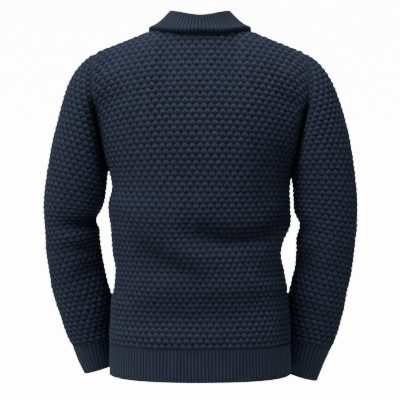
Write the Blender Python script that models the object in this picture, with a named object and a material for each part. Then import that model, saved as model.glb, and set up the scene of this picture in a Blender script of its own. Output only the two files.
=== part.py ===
"""A knitted cardigan kept in its worn shape, open at the neck, hem and cuffs.

Frame in metres: +Z up, the front faces -Y, the wearer's left is +X.
The origin is between the shoulders at the height of the neck seam, where a wearer carries it.
Every piece is one closed wall, 0.3 mm or more from its neighbours at the seams.
"""
import math

import bmesh
import bpy
import numpy as np

# Walls and seams
PANEL_THICKNESS = 0.0030
RIB_THICKNESS = 0.0026
RIB_HEIGHT = 0.0006
SEAM_HALF_GAP = 0.0002

# Heights of the main levels
HEM_BOTTOM_Z = -0.6475
HEM_TOP_Z = -0.5886
UNDERARM_Z = -0.2560
SHOULDER_POINT = (0.1985, -0.0050, -0.0425)
NECK_POINT = (0.0790, -0.0040, 0.0066)
BACK_NECK_DEPTH = 0.0620
BACK_NECK_DROP = 0.0181
NECK_SHARE = 0.47

# Body sections below the underarm, one row a level
# height, half width on the left, half width on the right, depth to the back, depth to the front
BODY_ROWS = (
    (-0.6480, 0.1692, 0.1696, 0.1300, 0.1320),
    (-0.6200, 0.1688, 0.1688, 0.1295, 0.1320),
    (-0.5886, 0.1682, 0.1682, 0.1288, 0.1322),
    (-0.5650, 0.1672, 0.1682, 0.1295, 0.1325),
    (-0.5300, 0.1652, 0.1664, 0.1250, 0.1310),
    (-0.5090, 0.1645, 0.1645, 0.1220, 0.1295),
    (-0.4790, 0.1592, 0.1618, 0.1180, 0.1275),
    (-0.4480, 0.1575, 0.1555, 0.1160, 0.1260),
    (-0.4180, 0.1624, 0.1502, 0.1145, 0.1250),
    (-0.3950, 0.1645, 0.1560, 0.1155, 0.1250),
    (-0.3720, 0.1662, 0.1675, 0.1185, 0.1260),
    (-0.3270, 0.1702, 0.1690, 0.1210, 0.1270),
    (-0.2970, 0.1635, 0.1685, 0.1230, 0.1270),
    (-0.2560, 0.1712, 0.1712, 0.1240, 0.1270),
)
BODY_SQUARENESS = 2.4

# Armhole, one row a step of its angle from the shoulder point down to the underarm
# angle in degrees, across at the back, depth at the back, across at the front, depth at the front
ARMHOLE_ROWS = (
    (0.0, 0.1985, -0.0050, 0.1985, -0.0050),
    (20.0, 0.2005, 0.0200, 0.1995, -0.0300),
    (45.0, 0.2020, 0.0440, 0.1965, -0.0520),
    (70.0, 0.2020, 0.0560, 0.1930, -0.0640),
    (90.0, 0.1995, 0.0570, 0.1895, -0.0660),
    (110.0, 0.1940, 0.0510, 0.1860, -0.0610),
    (135.0, 0.1855, 0.0380, 0.1815, -0.0460),
    (160.0, 0.1755, 0.0180, 0.1750, -0.0230),
    (180.0, 0.1712, 0.0000, 0.1712, 0.0000),
)

# Rise of the upper back over the shoulder, one row a share of the way from the middle to the armhole
# share, direction at the top edge across, in depth and up, length of the pull
BACK_TOP_ROWS = (
    (0.00, 0.00, -0.45, 0.89, 0.270),
    (0.25, 0.00, -0.62, 0.78, 0.290),
    (0.47, 0.00, -0.96, 0.28, 0.330),
    (0.75, 0.00, -0.98, 0.20, 0.290),
    (1.00, 0.00, -0.98, 0.20, 0.250),
)
# share from the neck edge to the armhole, the same four columns for a front
FRONT_TOP_ROWS = (
    (0.00, 0.00, 0.97, 0.24, 0.340),
    (0.30, 0.00, 0.98, 0.20, 0.330),
    (0.65, 0.00, 0.98, 0.20, 0.290),
    (1.00, 0.00, 0.98, 0.20, 0.250),
)
BACK_START = (0.00, 0.06, 1.00)
FRONT_START = (0.25, -0.04, 1.00)
EDGE_POWER = 3.0
FOLD_EDGE_POWER = 8.0
MITRE_LIMIT = 1.45

# Sleeves, one row a ring from the armhole to the cuff
# ring, outer edge across and up, inner edge across and up, middle depth, half depth
LEFT_SLEEVE_ROWS = (
    (0.0, 0.1985, -0.0425, 0.1712, -0.2560, 0.0000, 0.0620),
    (1.0, 0.2231, -0.0632, 0.1755, -0.2620, 0.0020, 0.0660),
    (2.0, 0.2428, -0.0917, 0.1770, -0.2680, 0.0030, 0.0670),
    (3.0, 0.2551, -0.1248, 0.1789, -0.2750, 0.0030, 0.0670),
    (4.0, 0.2670, -0.1691, 0.1792, -0.2831, 0.0030, 0.0660),
    (5.0, 0.2781, -0.2144, 0.1803, -0.2921, 0.0020, 0.0650),
    (6.0, 0.2860, -0.2584, 0.1818, -0.3019, 0.0000, 0.0640),
    (7.0, 0.2925, -0.3005, 0.1837, -0.3160, -0.0030, 0.0620),
    (8.0, 0.2946, -0.3345, 0.1893, -0.3360, -0.0060, 0.0600),
    (9.0, 0.2933, -0.3641, 0.1960, -0.3583, -0.0100, 0.0570),
    (10.0, 0.2923, -0.3922, 0.1905, -0.3804, -0.0140, 0.0580),
    (11.0, 0.2917, -0.4185, 0.1920, -0.4054, -0.0180, 0.0570),
    (12.0, 0.2865, -0.4571, 0.1876, -0.4392, -0.0240, 0.0560),
    (13.0, 0.2811, -0.4940, 0.1811, -0.4740, -0.0300, 0.0540),
    (14.0, 0.2697, -0.5331, 0.1715, -0.5120, -0.0370, 0.0520),
    (15.0, 0.2594, -0.5684, 0.1710, -0.5480, -0.0450, 0.0470),
    (16.0, 0.2467, -0.6009, 0.1697, -0.5850, -0.0530, 0.0410),
)
RIGHT_SLEEVE_ROWS = (
    (0.0, 0.1985, -0.0425, 0.1712, -0.2560, 0.0000, 0.0620),
    (1.0, 0.2246, -0.0632, 0.1750, -0.2620, 0.0020, 0.0660),
    (2.0, 0.2447, -0.0917, 0.1755, -0.2680, 0.0030, 0.0670),
    (3.0, 0.2589, -0.1247, 0.1760, -0.2750, 0.0030, 0.0670),
    (4.0, 0.2728, -0.1690, 0.1773, -0.2831, 0.0030, 0.0660),
    (5.0, 0.2828, -0.2143, 0.1787, -0.2926, 0.0020, 0.0650),
    (6.0, 0.2898, -0.2583, 0.1799, -0.3021, 0.0000, 0.0640),
    (7.0, 0.2950, -0.3005, 0.1805, -0.3173, -0.0030, 0.0620),
    (8.0, 0.2965, -0.3346, 0.1819, -0.3402, -0.0060, 0.0610),
    (9.0, 0.2967, -0.3662, 0.1900, -0.3662, -0.0100, 0.0580),
    (10.0, 0.2940, -0.3963, 0.1845, -0.3899, -0.0140, 0.0580),
    (11.0, 0.2909, -0.4282, 0.1853, -0.4207, -0.0180, 0.0570),
    (12.0, 0.2873, -0.4603, 0.1845, -0.4494, -0.0240, 0.0560),
    (13.0, 0.2798, -0.4960, 0.1777, -0.4800, -0.0300, 0.0540),
    (14.0, 0.2747, -0.5313, 0.1715, -0.5130, -0.0370, 0.0520),
    (15.0, 0.2656, -0.5685, 0.1710, -0.5500, -0.0450, 0.0470),
    (16.0, 0.2541, -0.6048, 0.1700, -0.5880, -0.0530, 0.0420),
)
# Cuffs, one row a ring from the sleeve to the hand, the same columns
LEFT_CUFF_ROWS = (
    (0.0, 0.2466, -0.6013, 0.1697, -0.5854, -0.0531, 0.0408),
    (1.0, 0.2367, -0.6310, 0.1690, -0.6130, -0.0610, 0.0350),
    (2.0, 0.2242, -0.6584, 0.1675, -0.6410, -0.0670, 0.0305),
)
RIGHT_CUFF_ROWS = (
    (0.0, 0.2540, -0.6052, 0.1700, -0.5884, -0.0531, 0.0418),
    (1.0, 0.2398, -0.6388, 0.1695, -0.6210, -0.0610, 0.0355),
    (2.0, 0.2272, -0.6729, 0.1680, -0.6560, -0.0670, 0.0305),
)
ARMHOLE_FADE_RINGS = 4.0

# Largest folds, one row a fold on the back
# start across and up, middle across and up, end across and up, half width, depth
BACK_FOLDS = (
    (0.015, -0.372, -0.078, -0.394, -0.165, -0.356, 0.0240, -0.0075),
    (0.140, -0.326, 0.070, -0.336, -0.010, -0.322, 0.0260, 0.0030),
    (0.110, -0.400, 0.060, -0.434, -0.020, -0.462, 0.0240, -0.0045),
    (0.110, -0.530, -0.020, -0.524, -0.130, -0.512, 0.0240, -0.0045),
)
FRONT_FOLDS = (
    (0.150, -0.400, 0.090, -0.425, 0.040, -0.415, 0.0200, -0.0045),
    (-0.155, -0.385, -0.095, -0.420, -0.040, -0.430, 0.0200, -0.0050),
    (0.140, -0.510, 0.090, -0.520, 0.035, -0.512, 0.0200, -0.0035),
    (-0.140, -0.505, -0.090, -0.520, -0.035, -0.520, 0.0200, -0.0035),
)
# Sleeve folds, one row a fold: ring, angle in degrees, half rings, half angle, depth
LEFT_SLEEVE_FOLDS = (
    (9.0, 140.0, 0.7, 60.0, -0.0070),
    (10.6, 125.0, 0.6, 55.0, -0.0050),
    (12.2, 115.0, 0.6, 50.0, -0.0035),
    (9.8, 230.0, 0.8, 55.0, -0.0050),
)
RIGHT_SLEEVE_FOLDS = (
    (9.2, 150.0, 0.7, 50.0, -0.0045),
    (11.4, 140.0, 0.7, 50.0, -0.0030),
    (9.8, 230.0, 0.8, 55.0, -0.0050),
)

# Hem, cuff and collar ribs
HEM_RIB_PITCH = 0.0068
CUFF_RIB_COUNT = 30
COLLAR_RIB_PITCH = 0.0092

# Button bands and their lap, left over right
BAND_HALF_WIDTH = 0.0175
BAND_LAP_STEP = 0.0038
BAND_RIB_PITCH = 0.0068

# Collar strip, one row a station: 0 at the lap, 1 at the neck point, 2 at the middle of the back
# station, width, share of the stand, share of the roll, bend and bend at the free edge, lean in degrees
COLLAR_ROWS = (
    (0.00, 0.0350, 0.450, 0.220, 0.0, 0.0, 0.0),
    (0.20, 0.0350, 0.450, 0.220, 0.0, 0.0, 0.0),
    (0.27, 0.0430, 0.420, 0.220, 55.0, 60.0, 0.0),
    (0.35, 0.0530, 0.360, 0.220, 125.0, 130.0, 2.0),
    (0.48, 0.0680, 0.300, 0.200, 166.0, 176.0, 5.0),
    (0.70, 0.0820, 0.300, 0.180, 168.0, 170.0, 14.0),
    (0.88, 0.0880, 0.330, 0.170, 174.0, 164.0, 22.0),
    (1.00, 0.0910, 0.362, 0.155, 180.0, 166.0, 22.7),
    (1.35, 0.0840, 0.385, 0.170, 177.0, 158.0, 20.0),
    (2.00, 0.0680, 0.410, 0.205, 172.0, 156.0, 16.0),
)
# Outward direction of the garment along the neck seam: station, across, in depth and up
NECK_FACING_ROWS = (
    (0.00, 0.04, -0.999, 0.02),
    (0.30, 0.12, -0.970, 0.18),
    (0.60, 0.22, -0.880, 0.42),
    (0.80, 0.30, -0.680, 0.66),
    (1.00, 0.37, 0.050, 0.92),
    (1.30, 0.30, 0.520, 0.80),
    (1.60, 0.18, 0.760, 0.62),
    (2.00, 0.00, 0.890, 0.45),
)
# Direction from the neck seam into the opening, the same columns
NECK_INWARD_ROWS = (
    (0.00, -1.00, 0.00, 0.20),
    (1.00, -0.92, 0.00, 0.37),
    (1.50, -0.50, -0.50, 0.70),
    (2.00, 0.00, -0.45, 0.89),
)
COLLAR_SEAM_CLEARANCE = 0.0012
COLLAR_EDGE_SWELL = 0.0026
LAP_FADE = (0.20, 0.30)

# Buttons
BUTTON_RADIUS = 0.0100
BUTTON_THICKNESS = 0.0038
BUTTON_RIM_WIDTH = 0.0018
BUTTON_DISH_DEPTH = 0.0010
BUTTON_SEGMENTS = 18
BUTTON_HOLE_RADIUS = 0.0012
BUTTON_HOLE_SPACING = 0.0021
BUTTON_HOLE_SEGMENTS = 6
BUTTON_HEIGHTS = (-0.270, -0.356, -0.442, -0.528, -0.614)
BUTTON_CLEARANCE = 0.0004

# Counts of points
LOWER_ROWS = 19
UPPER_ROWS = 12
BACK_COLUMNS = 16
FRONT_COLUMNS = 8
SLEEVE_RINGS = 17
RING_SAMPLES = 241
PROFILE_SAMPLES = 81

NAVY_KNIT = (0.018, 0.024, 0.044, 1.0)
NAVY_RIB = (0.024, 0.030, 0.054, 1.0)
HORN = (0.030, 0.026, 0.026, 1.0)


def clear_scene():
    """Remove every object that is already there."""
    for old in list(bpy.data.objects):
        bpy.data.objects.remove(old, do_unlink=True)


def make_material(name, colour, roughness):
    """One plain material."""
    material = bpy.data.materials.new(name)
    material.use_nodes = True
    shader = material.node_tree.nodes["Principled BSDF"]
    shader.inputs["Base Color"].default_value = colour
    shader.inputs["Roughness"].default_value = roughness
    shader.inputs["Metallic"].default_value = 0.0
    material.diffuse_color = colour
    return material


def table_at(rows, values):
    """Smooth values of a table's columns at values of its first column."""
    rows = np.asarray(rows, dtype=float)
    keys = rows[:, 0]
    data = rows[:, 1:]
    steps = np.diff(keys)[:, None]
    slopes = np.diff(data, axis=0) / steps
    tangents = np.empty_like(data)
    tangents[1:-1] = (slopes[:-1] * steps[1:] + slopes[1:] * steps[:-1]) / (steps[:-1] + steps[1:])
    tangents[0] = slopes[0]
    tangents[-1] = slopes[-1]
    values = np.clip(np.asarray(values, dtype=float), keys[0], keys[-1])
    place = np.clip(np.searchsorted(keys, values, side="right") - 1, 0, len(keys) - 2)
    span = (keys[place + 1] - keys[place])[..., None]
    share = ((values - keys[place])[..., None]) / span
    start = (2 * share ** 3 - 3 * share ** 2 + 1) * data[place]
    start_pull = (share ** 3 - 2 * share ** 2 + share) * span * tangents[place]
    end = (3 * share ** 2 - 2 * share ** 3) * data[place + 1]
    end_pull = (share ** 3 - share ** 2) * span * tangents[place + 1]
    return start + start_pull + end + end_pull


def unit(vectors):
    """Vectors of length one."""
    return vectors / np.maximum(np.linalg.norm(vectors, axis=-1, keepdims=True), 1e-12)


def smooth_step(value, low, high):
    """A soft rise from 0 at low to 1 at high."""
    share = np.clip((value - low) / (high - low), 0.0, 1.0)
    return share * share * (3.0 - 2.0 * share)


def hermite(start, end, start_pull, end_pull, share):
    """A cubic from start to end with the given pulls."""
    share = np.asarray(share)[..., None]
    return ((2 * share ** 3 - 3 * share ** 2 + 1) * start + (share ** 3 - 2 * share ** 2 + share) * start_pull
            + (3 * share ** 2 - 2 * share ** 3) * end + (share ** 3 - share ** 2) * end_pull)


def half_ring(height, side, shares):
    """Points of one body section from the left seam to the right one, behind (side 1) or in front (-1)."""
    left, right, back, front = table_at(BODY_ROWS, height)
    angle = np.linspace(0.0, math.pi, RING_SAMPLES)
    power = 2.0 / BODY_SQUARENESS
    across = np.sign(np.cos(angle)) * np.abs(np.cos(angle)) ** power
    across = np.where(across > 0, across * left, across * right)
    depth = side * np.abs(np.sin(angle)) ** power * (back if side > 0 else front)
    length = np.concatenate([[0.0], np.cumsum(np.hypot(np.diff(across), np.diff(depth)))])
    wanted = np.asarray(shares) * length[-1]
    points = np.zeros(wanted.shape + (3,))
    points[..., 0] = np.interp(wanted, length, across)
    points[..., 1] = np.interp(wanted, length, depth)
    points[..., 2] = height
    return points


def armhole_point(angle, side, hand):
    """Points of the armhole at angles in degrees from the shoulder point, behind or in front."""
    row = table_at(ARMHOLE_ROWS, angle)
    points = np.zeros(np.shape(angle) + (3,))
    points[..., 0] = hand * (row[..., 0] if side > 0 else row[..., 2])
    points[..., 1] = row[..., 1] if side > 0 else row[..., 3]
    middle = (SHOULDER_POINT[2] + UNDERARM_Z) / 2
    reach = (SHOULDER_POINT[2] - UNDERARM_Z) / 2
    points[..., 2] = middle + reach * np.cos(np.radians(angle))
    return points


def armhole_angle(share, side):
    """Angle at a share of the armhole's length, measured from the underarm up."""
    angle = np.linspace(180.0, 0.0, RING_SAMPLES)
    points = armhole_point(angle, side, 1.0)
    length = np.concatenate([[0.0], np.cumsum(np.linalg.norm(np.diff(points, axis=0), axis=1))])
    return np.interp(np.asarray(share) * length[-1], length, angle)


def back_neck_point(share):
    """Points of the back neck seam, share 0 at the middle and 1 at the left neck point, -1 at the right."""
    angle = np.asarray(share) * math.pi / 2
    points = np.zeros(angle.shape + (3,))
    points[..., 0] = NECK_POINT[0] * np.sin(angle)
    points[..., 1] = NECK_POINT[1] + BACK_NECK_DEPTH * np.cos(angle)
    points[..., 2] = NECK_POINT[2] - BACK_NECK_DROP * np.cos(angle) ** 2
    return points


def shoulder_point(share, hand):
    """Points of a shoulder seam, share 0 at the neck point and 1 at the shoulder point."""
    start = np.array(NECK_POINT)
    end = np.array(SHOULDER_POINT)
    points = start + np.asarray(share)[..., None] * (end - start)
    points[..., 0] *= hand
    return points


def back_top_edge(across):
    """Top edge of the back: half the neck and one shoulder each side."""
    part = np.abs(across)
    hand = np.where(across < 0, -1.0, 1.0)
    neck = back_neck_point(np.clip(across / NECK_SHARE, -1.0, 1.0))
    seam = shoulder_point(np.clip((part - NECK_SHARE) / (1.0 - NECK_SHARE), 0.0, 1.0), 1.0)
    seam[..., 0] *= hand
    return np.where((part <= NECK_SHARE)[..., None], neck, seam)


def upper_back(across, rise):
    """Points of the back above the underarm, across -1 to 1 and rise 0 to 1."""
    across, rise = np.broadcast_arrays(np.asarray(across, float), np.asarray(rise, float))
    start = half_ring(UNDERARM_Z, 1, (1.0 - across) / 2)
    end = back_top_edge(across)
    rows = table_at(BACK_TOP_ROWS, np.abs(across))
    pull = rows[..., 3:4]
    body = hermite(start, end, np.array(BACK_START) * pull, unit(rows[..., :3]) * pull, rise)
    hand = np.where(across < 0, -1.0, 1.0)
    edge = armhole_point(armhole_angle(rise, 1), 1, 1.0)
    edge_row = table_at(BACK_TOP_ROWS, np.ones(across.shape))
    edge_start = half_ring(UNDERARM_Z, 1, (1.0 - hand) / 2)
    edge_start[..., 0] = np.abs(edge_start[..., 0])
    edge_end = np.broadcast_to(np.array(SHOULDER_POINT), edge_start.shape)
    edge_pull = edge_row[..., 3:4]
    plain = hermite(edge_start, edge_end, np.array(BACK_START) * edge_pull, unit(edge_row[..., :3]) * edge_pull, rise)
    shift = (edge - plain) * (np.abs(across) ** EDGE_POWER)[..., None]
    shift[..., 0] *= hand
    return body + shift


def front_inner_share(height):
    """Share of a front section where a front meets its button band."""
    left, right, back, front = table_at(BODY_ROWS, height)
    angle = np.linspace(0.0, math.pi, RING_SAMPLES)
    power = 2.0 / BODY_SQUARENESS
    across = np.sign(np.cos(angle)) * np.abs(np.cos(angle)) ** power
    across = np.where(across > 0, across * left, across * right)
    depth = np.abs(np.sin(angle)) ** power * front
    length = np.concatenate([[0.0], np.cumsum(np.hypot(np.diff(across), np.diff(depth)))])
    middle = np.interp(0.0, -across, length)
    return middle / length[-1], BAND_HALF_WIDTH / length[-1]


def front_section(height, part, hand):
    """Points of a front at one level, part 0 at the band and 1 at the side seam."""
    middle, band = front_inner_share(height)
    if hand > 0:
        shares = (middle - band) * (1.0 - part)
    else:
        shares = (middle + band) + (1.0 - middle - band) * part
    return half_ring(height, -1, shares)


def upper_front(part, rise, hand):
    """Points of a front above the underarm, part 0 at the neck edge and 1 at the armhole."""
    part, rise = np.broadcast_arrays(np.asarray(part, float), np.asarray(rise, float))
    mirror = np.array([hand, 1.0, 1.0])
    start = front_section(UNDERARM_Z, part, hand) * mirror
    end = shoulder_point(part, 1.0)
    rows = table_at(FRONT_TOP_ROWS, part)
    pull = rows[..., 3:4]
    lead = np.array(FRONT_START) * np.stack([1.0 - part, np.ones_like(part), np.ones_like(part)], axis=-1)
    body = hermite(start, end, lead * pull, unit(rows[..., :3]) * pull, rise)
    edge = armhole_point(armhole_angle(rise, -1), -1, 1.0)
    edge_row = table_at(FRONT_TOP_ROWS, np.ones(part.shape))
    edge_start = front_section(UNDERARM_Z, np.ones(part.shape), hand) * mirror
    edge_end = np.broadcast_to(np.array(SHOULDER_POINT), edge_start.shape)
    edge_lead = np.array(FRONT_START) * np.array([0.0, 1.0, 1.0])
    edge_pull = edge_row[..., 3:4]
    plain = hermite(edge_start, edge_end, edge_lead * edge_pull, unit(edge_row[..., :3]) * edge_pull, rise)
    shift = (edge - plain) * (part ** EDGE_POWER)[..., None]
    return (body + shift) * mirror


def fold_offset(folds, points):
    """Outward offset of the folds at points, each fold along a bent line."""
    across = points[..., 0]
    height = points[..., 2]
    total = np.zeros(across.shape)
    for first_x, first_z, middle_x, middle_z, last_x, last_z, half_width, depth in folds:
        way = np.linspace(0.0, 1.0, 25)
        line_x = (1 - way) ** 2 * first_x + 2 * way * (1 - way) * (2 * middle_x - (first_x + last_x) / 2) + way ** 2 * last_x
        line_z = (1 - way) ** 2 * first_z + 2 * way * (1 - way) * (2 * middle_z - (first_z + last_z) / 2) + way ** 2 * last_z
        gaps = np.hypot(across[..., None] - line_x, height[..., None] - line_z)
        nearest = np.argmin(gaps, axis=-1)
        closeness = np.exp(-(np.min(gaps, axis=-1) / half_width) ** 2)
        strength = 0.35 + 0.65 * np.sin(math.pi * way[nearest]) ** 0.5
        total += depth * closeness * strength
    return total


def sleeve_ellipse(rows, ring, angle, hand):
    """Points of a sleeve's plain rings, angle in degrees from the outer edge towards the back."""
    row = table_at(rows, ring)
    outer_x, outer_z, inner_x, inner_z, depth, half_depth = [row[..., k] for k in range(6)]
    turn = np.radians(angle)
    points = np.zeros(np.broadcast(ring, angle).shape + (3,))
    points[..., 0] = hand * ((outer_x + inner_x) / 2 + (outer_x - inner_x) / 2 * np.cos(turn))
    points[..., 1] = depth + half_depth * np.sin(turn)
    points[..., 2] = (outer_z + inner_z) / 2 + (outer_z - inner_z) / 2 * np.cos(turn)
    return points


def sleeve_surface(rows, ring, angle, hand):
    """Points of a sleeve whose first ring is the armhole."""
    ring, angle = np.broadcast_arrays(np.asarray(ring, float), np.asarray(angle, float))
    plain = sleeve_ellipse(rows, ring, angle, hand)
    first = sleeve_ellipse(rows, np.zeros(ring.shape), angle, hand)
    turned = np.where(angle > 180.0, 360.0 - angle, angle)
    behind = armhole_point(turned, 1, hand)
    before = armhole_point(turned, -1, hand)
    hole = np.where((angle <= 180.0)[..., None], behind, before)
    fade = np.clip(1.0 - ring / ARMHOLE_FADE_RINGS, 0.0, 1.0) ** 2
    return plain + (hole - first) * fade[..., None]


def sleeve_fold_offset(folds, ring, angle):
    """Outward offset of a sleeve's folds."""
    total = np.zeros(np.broadcast(ring, angle).shape)
    for fold_ring, fold_angle, half_rings, half_angle, depth in folds:
        turn = (angle - fold_angle + 180.0) % 360.0 - 180.0
        slant = ring - fold_ring + 0.004 * turn
        total = total + depth * np.exp(-(slant / half_rings) ** 2 - (turn / half_angle) ** 2)
    return total


def grid_normals(points, closed=False):
    """Unit normals of a grid of points, rows by columns."""
    along = np.gradient(points, axis=0)
    if closed:
        around = (np.roll(points, -1, axis=1) - np.roll(points, 1, axis=1)) / 2
    else:
        around = np.gradient(points, axis=1)
    return unit(np.cross(along, around))


def facing(normals, reference):
    """Normals turned to the side of a reference direction, the same way over the whole grid."""
    score = np.sum(normals * reference)
    return normals if score >= 0 else -normals


def stitch(first, second):
    """Triangles between two rows of point numbers of different counts."""
    faces = []
    i = 0
    j = 0
    last_i = len(first) - 1
    last_j = len(second) - 1
    while i < last_i or j < last_j:
        take_first = j == last_j or (i < last_i and (i + 1) * last_j <= (j + 1) * last_i)
        if take_first:
            faces.append((first[i], first[i + 1], second[j]))
            i += 1
        else:
            faces.append((first[i], second[j + 1], second[j]))
            j += 1
    return faces


def grid_faces(rows, columns, start, closed):
    """Faces of a grid of points."""
    faces = []
    width = columns if closed else columns - 1
    for row in range(rows - 1):
        for column in range(width):
            right = (column + 1) % columns
            a = start + row * columns + column
            b = start + row * columns + right
            c = start + (row + 1) * columns + right
            d = start + (row + 1) * columns + column
            faces.append((a, b, c, d))
    return faces


def make_wall(name, outer, inner, material, closed=False):
    """A closed wall between an outer and an inner grid, joined along its edges."""
    rows, columns = outer.shape[:2]
    inner_rows, inner_columns = inner.shape[:2]
    points = np.concatenate([outer.reshape(-1, 3), inner.reshape(-1, 3)])
    start = rows * columns
    faces = grid_faces(rows, columns, 0, closed) + grid_faces(inner_rows, inner_columns, start, closed)
    outer_number = np.arange(rows * columns).reshape(rows, columns)
    inner_number = start + np.arange(inner_rows * inner_columns).reshape(inner_rows, inner_columns)
    pairs = [(outer_number[0], inner_number[0]), (outer_number[-1], inner_number[-1])]
    if closed:
        pairs = [(np.append(one, one[0]), np.append(two, two[0])) for one, two in pairs]
    else:
        pairs.append((outer_number[:, 0], inner_number[:, 0]))
        pairs.append((outer_number[:, -1], inner_number[:, -1]))
    for one, two in pairs:
        faces += stitch([int(k) for k in one], [int(k) for k in two])
    return make_object(name, points, faces, material)


def make_object(name, points, faces, material):
    """An object with outward faces from points and faces."""
    mesh = bpy.data.meshes.new(name)
    mesh.from_pydata([tuple(map(float, point)) for point in points], [], faces)
    work = bmesh.new()
    work.from_mesh(mesh)
    bmesh.ops.triangulate(work, faces=work.faces[:])
    bmesh.ops.recalc_face_normals(work, faces=work.faces[:])
    if work.calc_volume(signed=True) < 0:
        bmesh.ops.reverse_faces(work, faces=work.faces[:])
    work.to_mesh(mesh)
    work.free()
    mesh.materials.append(material)
    made = bpy.data.objects.new(name, mesh)
    bpy.context.scene.collection.objects.link(made)
    return made


def body_levels():
    """Heights of the lower rows and shares of the upper rows, shared by the back and the fronts."""
    lower = np.linspace(HEM_TOP_Z + SEAM_HALF_GAP, UNDERARM_Z, LOWER_ROWS + 1)
    upper = np.linspace(0.0, 1.0, UPPER_ROWS + 1)[1:]
    return lower, upper


def back_positions():
    """Places across the back, 1 at the left seam and -1 at the right, with two at the neck points."""
    half = BACK_COLUMNS // 4
    shoulder = np.linspace(1.0, NECK_SHARE, half + 1)
    neck = np.linspace(NECK_SHARE, 0.0, half + 1)[1:]
    left = np.concatenate([shoulder, neck])
    return np.concatenate([left, -left[-2::-1]])


def seam_pull(count, trim):
    """Shares 0 to 1 with the two ends drawn in by a trim."""
    shares = np.linspace(0.0, 1.0, count + 1)
    shares[0] = trim
    shares[-1] = 1.0 - trim
    return shares


def back_grid():
    """Middle points of the back, rows from the hem seam up, columns across."""
    lower, upper = body_levels()
    trim = SEAM_HALF_GAP / 0.25
    across = np.clip(back_positions(), trim - 1.0, 1.0 - trim)
    rows = [half_ring(height, 1, (1.0 - across) / 2) for height in lower]
    rise = upper.copy()
    rise[-1] = 1.0 - SEAM_HALF_GAP / 0.27
    rows += [upper_back(across, share) for share in rise]
    return np.array(rows)


def front_grid(columns, hand):
    """Middle points of a front, rows from the hem seam up, columns from the band to the side."""
    lower, upper = body_levels()
    part = seam_pull(columns, SEAM_HALF_GAP / 0.22)
    rows = [front_section(height, part, hand) for height in lower]
    rise = upper.copy()
    rise[-1] = 1.0 - SEAM_HALF_GAP / 0.27
    rows += [upper_front(part, share, hand) for share in rise]
    return np.array(rows)


def armhole_side_walls(shares, side, hand, rows):
    """Wall directions along half an armhole, midway between the body and the sleeve."""
    step = 0.02
    if side > 0:
        edge = upper_back(np.full(shares.shape, hand * 1.0), shares)
        beside = upper_back(np.full(shares.shape, hand * (1.0 - step)), shares)
    else:
        edge = upper_front(np.ones(shares.shape), shares, hand)
        beside = upper_front(np.full(shares.shape, 1.0 - step), shares, hand)
    angle = armhole_angle(shares, side)
    ring_angle = angle if side > 0 else 360.0 - angle
    beyond = sleeve_surface(rows, np.full(angle.shape, 0.25), ring_angle, hand)
    along = np.gradient(edge, axis=0)
    body_way = unit(np.cross(along, edge - beside))
    sleeve_way = unit(np.cross(along, beyond - edge))
    away = edge - np.array([0.0, 0.0, -0.15])
    if np.sum(body_way * away) < 0:
        body_way = -body_way
        sleeve_way = -sleeve_way
    return body_way + sleeve_way


def armhole_walls(hand, rows):
    """Wall directions round an armhole, shared by the body and the sleeve: behind and in front."""
    shares = np.linspace(0.0, 1.0, UPPER_ROWS + 1)
    behind = armhole_side_walls(shares, 1, hand, rows)
    before = armhole_side_walls(shares, -1, hand, rows)
    for end in (0, -1):
        mean = (behind[end] + before[end]) / 2
        mean[1] = 0.0
        behind[end] = mean
        before[end] = mean
    walls = []
    for mixed in (behind, before):
        size = np.maximum(np.linalg.norm(mixed, axis=-1, keepdims=True), 0.9)
        walls.append(unit(mixed) * np.minimum(2.0 / size, MITRE_LIMIT))
    return walls


def panel_faces(middle, normals, thickness):
    """Outer and inner points of a plain wall."""
    return middle + normals * thickness / 2, middle - normals * thickness / 2


def level_sideways(normals):
    """Wall directions along a side seam, without their part in depth, which both walls there share."""
    level = normals.copy()
    level[:, 1] = 0.0
    return unit(level)


def shoulder_facing(hands):
    """Wall direction along a shoulder seam, shared by the back and a front."""
    run = SHOULDER_POINT[0] - NECK_POINT[0]
    drop = NECK_POINT[2] - SHOULDER_POINT[2]
    return unit(np.stack([hands * drop, np.zeros(len(hands)), np.full(len(hands), run)], axis=-1))


def build_back(material):
    """The back in one piece, from the hem rib to the shoulders."""
    middle = back_grid()
    across = back_positions()
    normals = facing(grid_normals(middle), np.array([0.0, 1.0, 0.0]))
    window = 1.0 - np.abs(across) ** FOLD_EDGE_POWER
    middle = middle + normals * (fold_offset(BACK_FOLDS, middle) * window)[..., None]
    normals = facing(grid_normals(middle), np.array([0.0, 1.0, 0.0]))
    normals[:LOWER_ROWS + 1, 0] = level_sideways(normals[:LOWER_ROWS + 1, 0])
    normals[:LOWER_ROWS + 1, -1] = level_sideways(normals[:LOWER_ROWS + 1, -1])
    on_shoulder = np.abs(across) >= NECK_SHARE
    normals[-1, on_shoulder] = shoulder_facing(np.sign(across[on_shoulder]))
    normals[LOWER_ROWS:, 0] = armhole_walls(1.0, LEFT_SLEEVE_ROWS)[0]
    normals[LOWER_ROWS:, -1] = armhole_walls(-1.0, RIGHT_SLEEVE_ROWS)[0]
    outer, inner = panel_faces(middle, normals, PANEL_THICKNESS)
    make_wall("back", outer, inner, material)


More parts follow.
